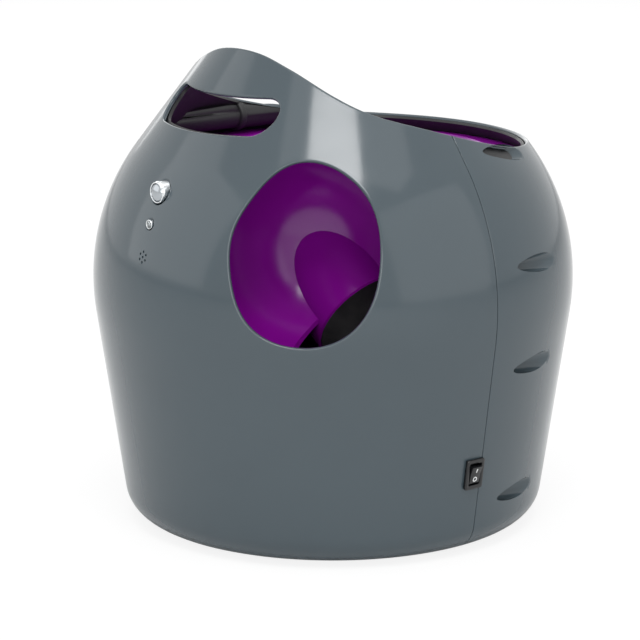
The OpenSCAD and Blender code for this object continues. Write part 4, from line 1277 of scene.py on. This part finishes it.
def lettering(text, size, matrix):
    """Plain figures as a raised print, 0.12 mm thick."""
    curve = bpy.data.curves.new("figures", "FONT")
    curve.body = text
    curve.size = size * MM
    curve.extrude = 0.06 * MM
    curve.align_x = "CENTER"
    curve.align_y = "CENTER"
    curve.resolution_u = 4
    source = linked("figures", curve)
    graph = bpy.context.evaluated_depsgraph_get()
    mesh = bpy.data.meshes.new_from_object(source.evaluated_get(graph), depsgraph=graph)
    bpy.data.objects.remove(source)
    # the text lies in its own XY plane: its X runs along local -Y, its Y along local Z
    flat = Matrix(((0, 0, 1, 0), (1, 0, 0, 0), (0, 1, 0, 0), (0, 0, 0, 1)))
    place = matrix.copy()
    place.translation *= MM
    mesh.transform(place @ flat)
    return linked("figures", mesh)


def node_tree(name, inputs):
    """An empty geometry tree with named inputs, its input node and its output node."""
    tree = bpy.data.node_groups.new(name, "GeometryNodeTree")
    for label, kind, default in inputs:
        socket = tree.interface.new_socket(label, in_out="INPUT", socket_type=kind)
        if default is not None:
            socket.default_value = default
    tree.interface.new_socket("Geometry", in_out="OUTPUT", socket_type="NodeSocketGeometry")
    return tree, add(tree, "NodeGroupInput"), add(tree, "NodeGroupOutput")


def grown(name, tree, points, values):
    """A plain mesh grown by a geometry tree on loose points."""
    mesh = bpy.data.meshes.new(name)
    mesh.from_pydata((np.asarray(points, float) * MM).tolist(), [], [])
    piece = linked(name, mesh)
    grow = piece.modifiers.new("grow", "NODES")
    grow.node_group = tree
    sockets = {i.name: i.identifier for i in tree.interface.items_tree if i.in_out == "INPUT"}
    for label, value in values.items():
        grow[sockets[label]] = value
    bake(piece)
    return piece


def set_out(tree, given, shape):
    """A shape on each given point, turned, made real and with its finish."""
    spread = add(tree, "GeometryNodeInstanceOnPoints", [("Points", given["Points"]),
                                                       ("Instance", shape),
                                                       ("Rotation", given["Turn"])])
    real = add(tree, "GeometryNodeRealizeInstances", [("Geometry", spread.outputs[0])])
    return add(tree, "GeometryNodeSetMaterial", [("Geometry", real.outputs[0]),
                                                ("Material", given["Finish"])]).outputs[0]


def screw_tree():
    """Pan-head screws with a cross recess, one on each point."""
    tree, given, out = node_tree("screws", [
        ("Points", "NodeSocketGeometry", None), ("Head Radius", "NodeSocketFloat", 0.0034),
        ("Head Height", "NodeSocketFloat", 0.0024), ("Shank Radius", "NodeSocketFloat", 0.0014),
        ("Shank Length", "NodeSocketFloat", 0.012), ("Recess", "NodeSocketFloat", 0.0034),
        ("Turn", "NodeSocketRotation", None), ("Finish", "NodeSocketMaterial", None)])
    g = given.outputs
    # sizes that follow from the inputs
    half, top, low, sink = (
        add(tree, "ShaderNodeMath", [(0, g[size])], operation="MULTIPLY",
            sockets={1: factor}).outputs[0]
        for size, factor in (("Head Height", 0.5), ("Head Radius", 0.72), ("Head Height", 0.25),
                             ("Shank Length", -0.5)))
    skirt = add(tree, "GeometryNodeMeshCylinder", [("Radius", g["Head Radius"]),
                                                  ("Depth", half)],
                sockets={"Vertices": 40})
    dome = add(tree, "GeometryNodeMeshCone", [("Radius Top", top),
                                             ("Radius Bottom", g["Head Radius"]),
                                             ("Depth", half)],
               sockets={"Vertices": 40})
    shank = add(tree, "GeometryNodeMeshCylinder", [("Radius", g["Shank Radius"]),
                                                  ("Depth", g["Shank Length"])],
                sockets={"Vertices": 24})
    arms = []
    for long, thin in (("X", "Y"), ("Y", "X")):
        size = add(tree, "ShaderNodeCombineXYZ", [(long, g["Recess"]), ("Z", g["Head Height"])],
                   sockets={thin: 0.0007})
        arms.append(add(tree, "GeometryNodeMeshCube", [("Size", size.outputs[0])]))
    raised = []
    for shape, height in ((skirt, low), (dome, half), (shank, sink),
                          (arms[0], g["Head Height"]), (arms[1], g["Head Height"])):
        up = add(tree, "ShaderNodeCombineXYZ", [("Z", height)])
        raised.append(add(tree, "GeometryNodeTransform", [
            ("Geometry", shape.outputs["Mesh"]), ("Translation", up.outputs[0])]).outputs[0])
    skirt, dome, shank, *arms = raised
    head = add(tree, "GeometryNodeMeshBoolean", [("Mesh 2", skirt), ("Mesh 2", dome)],
               operation="UNION", solver="EXACT").outputs["Mesh"]
    for arm in arms:
        head = add(tree, "GeometryNodeMeshBoolean", [("Mesh 1", head), ("Mesh 2", arm)],
                   operation="DIFFERENCE", solver="EXACT").outputs["Mesh"]
    screw = add(tree, "GeometryNodeJoinGeometry", [("Geometry", head), ("Geometry", shank)])
    tree.links.new(set_out(tree, g, screw.outputs[0]), out.inputs[0])
    return tree


def spring_tree():
    """An open coil of round wire along its own Z."""
    tree, given, out = node_tree("coil spring", [
        ("Points", "NodeSocketGeometry", None), ("Turns", "NodeSocketFloat", 9.0),
        ("Radius", "NodeSocketFloat", 0.0098), ("Length", "NodeSocketFloat", 0.047),
        ("Wire", "NodeSocketFloat", 0.0012), ("Turn", "NodeSocketRotation", None),
        ("Finish", "NodeSocketMaterial", None)])
    g = given.outputs
    coil = add(tree, "GeometryNodeCurveSpiral", [("Rotations", g["Turns"]),
                                                ("Start Radius", g["Radius"]),
                                                ("End Radius", g["Radius"]),
                                                ("Height", g["Length"])],
               sockets={"Resolution": 48})
    section = add(tree, "GeometryNodeCurvePrimitiveCircle", [("Radius", g["Wire"])],
                  sockets={"Resolution": 14})
    wire = add(tree, "GeometryNodeCurveToMesh", [("Curve", coil.outputs[0]),
                                                ("Profile Curve", section.outputs[0])],
               sockets={"Fill Caps": True})
    tree.links.new(set_out(tree, g, wire.outputs[0]), out.inputs[0])
    return tree


class BuildScrews(bpy.types.Operator):
    """Screws of the scoops and of the base, set out by one node tree"""
    bl_idname = "launcher.screws"
    bl_label = "Screws"

    def execute(self, context):
        h = context.scene.launcher_housing
        side = Side(h)
        tree = screw_tree()
        seats = []
        for z in SCOOP_Z:
            x = screw_x(side, z)
            seats += [(x, SCOOP_FRONT, z), (-x, SCOOP_FRONT, z)]
        shell = grown("shell_screw_set", tree, seats,
                      {"Turn": (math.radians(-90), 0, 0), "Finish": FINISH["steel"],
                       "Shank Length": 0.024})
        dress(shell, "steel", "housing", ("shell_screws",))
        r = h.base_radius / MM + 3.5
        spots = [(r * math.cos(math.radians(a)), r * math.sin(math.radians(a)),
                  h.floor_gap / MM) for a in (20, 75, 130, 212, 255, 310)]
        base = grown("base_screw_set", tree, spots,
                     {"Turn": (math.radians(180), 0, 0), "Finish": FINISH["steel"],
                      "Head Radius": 0.003, "Head Height": 0.0014, "Shank Length": 0.0105,
                      "Recess": 0.003})
        dress(base, "steel", "housing", ("base_screws",))
        return {"FINISHED"}


class BuildSpring(bpy.types.Operator):
    """Launch spring behind the striker, wound by a node tree"""
    bl_idname = "launcher.spring"
    bl_label = "Launch Spring"

    def execute(self, context):
        m = context.scene.launcher_mechanism
        aim = m.launch_angle
        back = np.array([0, math.cos(aim), -math.sin(aim)])
        start, end = m.spring_start / MM, m.spring_end / MM
        spring = grown("launch_spring_coil", spring_tree(), [SEAT + back * start],
                       {"Turns": float(m.spring_turns), "Radius": m.spring_radius,
                        "Length": (end - start) * MM, "Wire": m.spring_wire / 2,
                        "Turn": (math.radians(-90) - aim, 0, 0), "Finish": FINISH["steel"]})
        dress(spring, "steel", "launcher", ("launch_spring",))
        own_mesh(spring)
        return {"FINISHED"}


class BuildSwitch(bpy.types.Operator):
    """Rocker switch beside the seam, with plain on and off marks"""
    bl_idname = "launcher.switch"
    bl_label = "Power Switch"

    def execute(self, context):
        c = context.scene.launcher_controls
        h = context.scene.launcher_housing
        side = Side(h)
        w, t = c.switch_width / MM, c.switch_height / MM
        outward = np.array([math.cos(h.skirt_lean), 0, -math.sin(h.skirt_lean)])
        spot = np.array([side.reach(SWITCH_Z), -w / 2 + 0.9, SWITCH_Z]) + 0.3 * outward
        place = along(spot, outward)
        rows = []
        # each row: how far out, how much narrower and lower than the frame, corner radius;
        # from inside the well, over the frame's rounded face, to the end of the body
        for x0, dw, dt, r in ((-9, 5.4, 6, 0.6), (0.9, 5.4, 6, 0.6), (1.5, 5.1, 5.7, 0.8),
                              (1.8, 4.4, 5.0, 1.0), (1.8, 1.2, 1.2, 1.2),
                              (1.6, 0.5, 0.5, 1.4), (1.1, 0.1, 0.1, 1.5), (0.05, 0, 0, 1.5),
                              (0, 0.2, 0.2, 1.5), (0, 2.6, 2.4, 0.6), (-14, 2.6, 2.4, 0.6)):
            ring = block(w - dw, t - dt, r)
            rows.append(moved(np.column_stack([np.full(len(ring), x0), ring]), place))
        build = Build()
        build.cap(rows[0])
        build.strip(rows)
        build.cap(rows[-1], flip=True)
        build.piece("power_switch_frame", "black_gloss", "housing", ("power_switch",),
                    "black_plastic", sharp=50)
        # the rocker: a shallow V seen from the side, its upper end standing out
        wide = w - 6.4
        low, high = -t / 2 + 4.4, t / 2 - 4.4
        top = [(2.7, low - 0.1), (3.2, low * 0.5), (3.5, 0), (4.2, high * 0.5), (5.3, high)]
        outline = [(-4.0, 1.4), (-4.0, -1.4), (0.2, low + 0.1)] + top + [(1.0, high + 0.1)]
        rocker_place = along(spot - np.array([0, 0.1, 0]) - 1.2 * outward, outward)
        quarter = Matrix(((0, 1, 0, 0), (-1, 0, 0, 0), (0, 0, 1, 0), (0, 0, 0, 1)))
        rocker = prism("rocker", outline, -wide / 2, wide / 2, rocker_place @ quarter, 0.35)
        dress(rocker, "black_gloss", "rocker", ("switch_rocker",))
        # a bar on its upper half and a ring on its lower half, flat on its face
        bar = prism("mark", block(0.75, 3.4, 0.2), -0.15, 0.1,
                    self.on_face(rocker_place, top, high * 0.52))
        spot_place = self.on_face(rocker_place, top, low * 0.52)
        rows = []
        for r, x0 in ((1.75, -0.15), (1.75, 0.1), (1.15, 0.1), (1.15, -0.15), (1.75, -0.15)):
            rows.append(moved(circle((x0, 0, 0), (0, 1, 0), (0, 0, 1), r, 48)[::-1],
                              spot_place))
        ring = Build()
        ring.strip(rows)
        mark = join(bar, ring.bare("mark"))
        mark.name = "rocker_marks"
        dress(mark, "print_white", "rocker", ())
        return {"FINISHED"}

    @staticmethod
    def on_face(place, top, v):
        """Matrix of a spot on the rocker's face, at a height along it."""
        low, face, high = np.interp((v - 0.5, v, v + 0.5), [q[1] for q in top],
                                    [q[0] for q in top])
        slope = high - low
        m = np.array(place)
        outward = m[:3, :3] @ (np.array([1, 0, -slope]) / math.hypot(1, slope))
        return along(m[:3, :3] @ np.array([face, 0, v]) + m[:3, 3], outward)


class BuildKnob(bpy.types.Operator):
    """Launch angle knob on the left side, with a fluted grip"""
    bl_idname = "launcher.knob"
    bl_label = "Angle Knob"

    def execute(self, context):
        c = context.scene.launcher_controls
        r = c.knob_diameter / MM / 2
        at = (KNOB_FLOOR - 1, KNOB_Y, KNOB_Z)
        place = along(at, (-1, 0, 0))
        knob = turned(rounded([(0, 0), (r - 0.5, 0), (r, 1.5), (r - 0.6, 11), (r - 2.2, 12),
                               (r - 4, 11.6), (0, 11.6)], 0.7),
                      at, (-1, 0, 0), 180, (24, 0.55, r - 1.5)).bare("angle_knob_grip")
        shaft = turned(rounded([(0, 0), (3, 0), (3, 49), (0, 49)], 0.3),
                       (KNOB_FLOOR - 2, KNOB_Y, KNOB_Z), (1, 0, 0), 48).bare("shaft")
        rib = prism("rib", block(2.6, r - 4, 1.1, (0, 3 + (r - 4) / 2)), 11.4, 13.6, place, 0.3)
        dress(join(knob, shaft, rib), "dark_plastic", "angle_knob", ("angle_knob",))
        line = prism("angle_knob_line", block(0.8, r - 6.5, 0.3, (0, 4.4 + (r - 6.5) / 2)),
                     13.5, 13.72, place)
        dress(line, "print_white", "angle_knob", ())
        return {"FINISHED"}


class BuildControls(bpy.types.Operator):
    """Panel on the back with the dial, the button, the jack and plain figures"""
    bl_idname = "launcher.controls"
    bl_label = "Rear Controls"

    def execute(self, context):
        c = context.scene.launcher_controls
        r, b = c.dial_diameter / MM / 2, c.button_diameter / MM / 2
        out, x0, z0 = (0, 1, 0), 28, 85
        dial_at, button_at = (x0, PANEL_FACE, z0), (-x0, PANEL_FACE, z0)
        plate = prism("control_panel_plate",
                      block(2 * PANEL_HALF - 0.6, PANEL_HIGH - PANEL_LOW - 0.6, 2.6), -3.0, 0,
                      along((0, PANEL_FACE, (PANEL_LOW + PANEL_HIGH) / 2), out), 0.4)
        # holes of the dial's stem, the button and the jack
        for at, hole in ((dial_at, 3.3), (button_at, b + 0.3), ((0, PANEL_FACE, 78), 5.6)):
            profile = [(0, -10), (hole, -10), (hole, 10), (0, 10)]
            carve(plate, turned(profile, at, out, 64).bare("cutter"))
        dress(plate, "black_plastic", "housing", ("control_panel",))
        # dial
        grip = turned(rounded([(0, 0.6), (r - 0.4, 0.6), (r, 1.8), (r - 0.8, 8.8),
                               (r - 2, 9.6), (0, 9.6)], 0.6),
                      dial_at, out, 180, (30, 0.5, r - 1.3)).bare("distance_dial_grip")
        stem = turned(rounded([(0, -12), (2.9, -12), (2.9, 1), (0, 1)], 0.2), dial_at, out,
                      40).bare("stem")
        rib = prism("rib", block(2, r - 4, 0.9, (0, 2 + (r - 4) / 2)), 9.4, 10.6,
                    along(dial_at, out), 0.25)
        dress(join(grip, stem, rib), "dark_plastic", "distance_dial", ("distance_dial",))
        line = prism("distance_dial_line", block(0.7, r - 6, 0.3, (0, 3.2 + (r - 6) / 2)), 10.5,
                     10.7, along(dial_at, out))
        dress(line, "print_white", "distance_dial", ())
        # button with a plain arrowhead
        turned(rounded([(0, -7.5), (b + 1.5, -7.5), (b + 1.5, -5.5), (b, -5.5), (b, 2.2),
                        (b - 1.2, 3.2), (0, 3.2)], 0.5), button_at, out, 96).piece(
            "play_button_cap", "purple_plastic", "play_button", ("play_button",))
        arrow = prism("play_button_mark", [(-1.9, -2.9), (3.2, 0), (-1.9, 2.9)], 3.1, 3.3,
                      along(button_at, out))
        dress(arrow, "print_white", "play_button", ())
        # figures and dots round the dial: the lower two figures stand nearer to it
        prints = []
        for k in range(5):
            a = math.radians(120 - 60 * k)
            rise = r + (3.2 if abs(a) > 2 else 4.0)
            at = (x0 + (r + 4.6) * math.sin(a), PANEL_FACE, z0 + rise * math.cos(a))
            prints.append(lettering(str(5 - k), 4.6, along(at, out)))
        for k in range(9):
            a = math.radians(135 - 33.75 * k)
            at = (x0 + (r + 1.2) * math.sin(a), PANEL_FACE, z0 + (r + 1.2) * math.cos(a))
            prints.append(prism("dot", block(0.7, 0.7, 0.3, steps=4), -0.05, 0.1,
                                along(at, out)))
        figures = join(*prints)
        figures.name = "control_panel_figures"
        dress(figures, "print_white", "housing", ())
        return {"FINISHED"}


class BuildSensor(bpy.types.Operator):
    """Chrome sensor, signal lamp, their lenses and the speaker's gauze on the front"""
    bl_idname = "launcher.sensor"
    bl_label = "Sensor and Lamp"

    def execute(self, context):
        side = Side(context.scene.launcher_housing)
        ahead = (0, -1, 0)
        at = (0, -side.reach(SENSOR_Z), SENSOR_Z)
        turned(rounded([(0, -11), (7.5, -11), (7.5, 2.2), (7.0, 3.8), (6.5, 4.1), (6.1, 3.8),
                        (6.1, -6), (0, -6)], 0.35), at, ahead, 96).piece(
            "sensor_barrel", "chrome_trim", "housing", ("sensor_housing",))
        turned(rounded([(0, -0.6), (6, -0.6), (6, 3.0), (5.2, 4.1), (3.6, 4.9), (1.8, 5.3),
                        (0, 5.4)], 0.6, 4), at, ahead, 96).piece(
            "sensor_window", "silvered_lens", "housing", ("sensor_lens",), "dark_plastic")
        at = (0, -side.reach(LAMP_Z), LAMP_Z)
        turned(rounded([(2.42, -6.8), (3.2, -6.8), (3.2, 0.6), (3.0, 1.0), (2.7, 1.0),
                        (2.42, 0.7), (2.42, -6.8)], 0.15), at, ahead, 64).piece(
            "lamp_ring", "chrome_trim", "housing", ("led_bezel",))
        dome = [(2.37 * math.cos(a), 0.3 + 1.5 * math.sin(a))
                for a in np.linspace(0, math.pi / 2, 12)]
        turned([(0, -7.4), (2.37, -7.4)] + dome, at, ahead, 64).piece(
            "lamp_dome", "clear_lens", "housing", ("led_lens",))
        # black gauze that shows in the speaker's holes
        gauze = Build()
        r, y = SPEAKER_HOLE - 0.03, 2.45 - side.reach(SPEAKER_Z)
        for i in range(7):
            x, z = speaker_hole(i)
            turned([(0, 0), (r, 0), (r, 0.5), (0, 0.5)], (x, y, z), ahead, 18, build=gauze)
        gauze.piece("speaker_gauze", "black_rubber", "housing")
        return {"FINISHED"}


class BuildFeet(bpy.types.Operator):
    """Rubber feet with rounded edges and stems"""
    bl_idname = "launcher.feet"
    bl_label = "Rubber Feet"

    def execute(self, context):
        whole = Build()
        for a in (20, 90, 160, 237, 303):
            x, y = 97 * math.cos(math.radians(a)), 97 * math.sin(math.radians(a))
            turned(rounded([(0, 0), (8.9, 0), (9, 1.9), (2.9, 2), (2.9, 8.8), (0, 8.8)], 0.5),
                   (x, y, 0), (0, 0, 1), 56, build=whole)
        whole.piece("rubber_foot_set", "black_rubber", "housing", ("rubber_feet",))
        return {"FINISHED"}


# ---------------------------------------------------------------- stage

class BuildStage(bpy.types.Operator):
    """Floor, surroundings, lamps and camera"""
    bl_idname = "launcher.stage"
    bl_label = "Stage"

    def execute(self, context):
        s = context.scene.launcher_stage
        scene = context.scene
        scene.view_settings.view_transform = "Standard"
        camera = bpy.data.cameras.new("camera")
        camera.lens = s.lens
        camera.sensor_width = 36
        camera.shift_x = s.shift_x
        camera.clip_end = 20
        eye = linked("camera", camera)
        target = Vector((0, 0, s.target_z))
        away = Vector((math.sin(s.azimuth) * math.cos(s.elevation),
                       -math.cos(s.azimuth) * math.cos(s.elevation), math.sin(s.elevation)))
        eye.location = target + away * s.distance
        eye.rotation_euler = (-away).to_track_quat("-Z", "Y").to_euler()
        scene.camera = eye
        # a sheet of white paper, wide enough to lie behind the object from every side
        mesh = bpy.data.meshes.new("floor")
        mesh.from_pydata([(-6, -6, 0), (6, -6, 0), (6, 6, 0), (-6, 6, 0)], [], [(0, 1, 2, 3)])
        floor = linked("floor", mesh)
        mesh.materials.append(self.paper())
        self.world(scene)
        # soft boxes: place, aim, width and height in metres, power in watts
        near, middle = (0.05, -0.05, 0.2), (0.0, 0.0, 0.2)
        for name, place, aim, width, height, power in (
                ("front_high", (1.05, -0.85, 2.35), near, 1.0, 0.8, 24),
                ("front_low", (2.0, -1.8, 0.9), near, 1.4, 1.0, 17),
                ("key_left", (-2.0, -2.6, 1.6), middle, 3.6, 3.0, 24),
                ("key_right", (3.2, 0.8, 1.4), middle, 3.2, 3.2, 18),
                ("top", (0.2, 0.2, 3.0), middle, 3.0, 3.0, 24),
                ("back_left", (-2.6, 1.6, 1.4), middle, 2.0, 2.0, 14)):
            light = bpy.data.lights.new(name, "AREA")
            light.shape = "RECTANGLE"
            light.size = width
            light.size_y = height
            light.energy = power
            lamp = linked(name, light)
            lamp.location = place
            turn = (Vector(aim) - Vector(place)).to_track_quat("-Z", "Y")
            lamp.rotation_euler = turn.to_euler()
        return {"FINISHED"}

    @staticmethod
    def paper():
        """White paper: white to the camera, with the object's faint shadow."""
        mat = bpy.data.materials.new("Matt white paper")
        mat.use_nodes = True
        tree = mat.node_tree
        shader = tree.nodes["Principled BSDF"]
        shader.inputs["Base Color"].default_value = (0.86, 0.86, 0.86, 1)
        shader.inputs["Roughness"].default_value = 0.9
        seen = add(tree, "ShaderNodeLightPath").outputs["Is Camera Ray"]
        share = add(tree, "ShaderNodeMath", [(0, seen)], operation="MULTIPLY",
                    sockets={1: 0.82})
        glow = add(tree, "ShaderNodeEmission", sockets={"Strength": 1.04})
        both = add(tree, "ShaderNodeMixShader", [(0, share.outputs[0]),
                                                 (1, shader.outputs["BSDF"]),
                                                 (2, glow.outputs["Emission"])])
        tree.links.new(both.outputs["Shader"], tree.nodes["Material Output"].inputs["Surface"])
        return mat

    @staticmethod
    def world(scene):
        """White to the camera and in reflections, a plain weaker white as light."""
        world = bpy.data.worlds.new("studio")
        scene.world = world
        world.use_nodes = True
        tree = world.node_tree
        plain = tree.nodes["Background"]
        plain.inputs["Color"].default_value = (1, 1, 1, 1)
        plain.inputs["Strength"].default_value = 0.6
        seen = add(tree, "ShaderNodeLightPath")
        white = add(tree, "ShaderNodeBackground", sockets={"Color": (1, 1, 1, 1),
                                                           "Strength": 1.0})
        share = seen.outputs["Is Camera Ray"]
        for ray in ("Is Transmission Ray", "Is Glossy Ray"):
            share = add(tree, "ShaderNodeMath", [(0, share), (1, seen.outputs[ray])],
                        operation="MAXIMUM").outputs[0]
        both = add(tree, "ShaderNodeMixShader", [(0, share),
                                                 (1, plain.outputs[0]), (2, white.outputs[0])])
        tree.links.new(both.outputs[0], tree.nodes["World Output"].inputs["Surface"])


class FinishNodes(bpy.types.Operator):
    """Gives every carried-over node of the model its finish"""
    bl_idname = "launcher.node_finishes"
    bl_label = "Node Finishes"

    def execute(self, context):
        for entry in frame["record"]["subparts"]:
            node = frame["nodes"][entry["node"]]
            node.data.materials.clear()
            node.data.materials.append(FINISH[entry["material_slot"]])
        return {"FINISHED"}


class LauncherPanel(bpy.types.Panel):
    """Lists the builders of the launcher's pieces"""
    bl_idname = "VIEW3D_PT_ball_launcher"
    bl_label = "Ball Launcher"
    bl_space_type = "VIEW_3D"
    bl_region_type = "UI"
    bl_category = "Ball Launcher"

    def draw(self, context):
        for operator in BUILDERS:
            self.layout.operator(operator.bl_idname)


GROUPS = {"launcher_housing": LauncherHousing, "launcher_opening": LauncherOpening,
          "launcher_mechanism": LauncherMechanism, "launcher_controls": LauncherControls,
          "launcher_colours": LauncherColours, "launcher_stage": LauncherStage}
BUILDERS = (FinishNodes, BuildFrontShell, BuildRearShell, BuildLiner, BuildHopper, BuildChute,
            BuildBowl, BuildScrews, BuildSpring, BuildSwitch, BuildKnob, BuildControls,
            BuildSensor, BuildFeet, BuildStage)
FINISH = {}


def register():
    """Adds the settings, the operators and the panel."""
    for group in GROUPS.values():
        bpy.utils.register_class(group)
    for name, group in GROUPS.items():
        setattr(bpy.types.Scene, name, PointerProperty(type=group))
    for operator in BUILDERS:
        bpy.utils.register_class(operator)
    bpy.utils.register_class(LauncherPanel)


def unregister():
    """Takes them away again, in the opposite order."""
    bpy.utils.unregister_class(LauncherPanel)
    for operator in reversed(BUILDERS):
        bpy.utils.unregister_class(operator)
    for name, group in GROUPS.items():
        delattr(bpy.types.Scene, name)
        bpy.utils.unregister_class(group)


def main():
    """Builds every piece."""
    register()
    FINISH.update(make_materials(bpy.context.scene.launcher_colours))
    for operator in BUILDERS:
        folder, name = operator.bl_idname.split(".")
        getattr(getattr(bpy.ops, folder), name)()


if __name__ == "__main__":
    main()
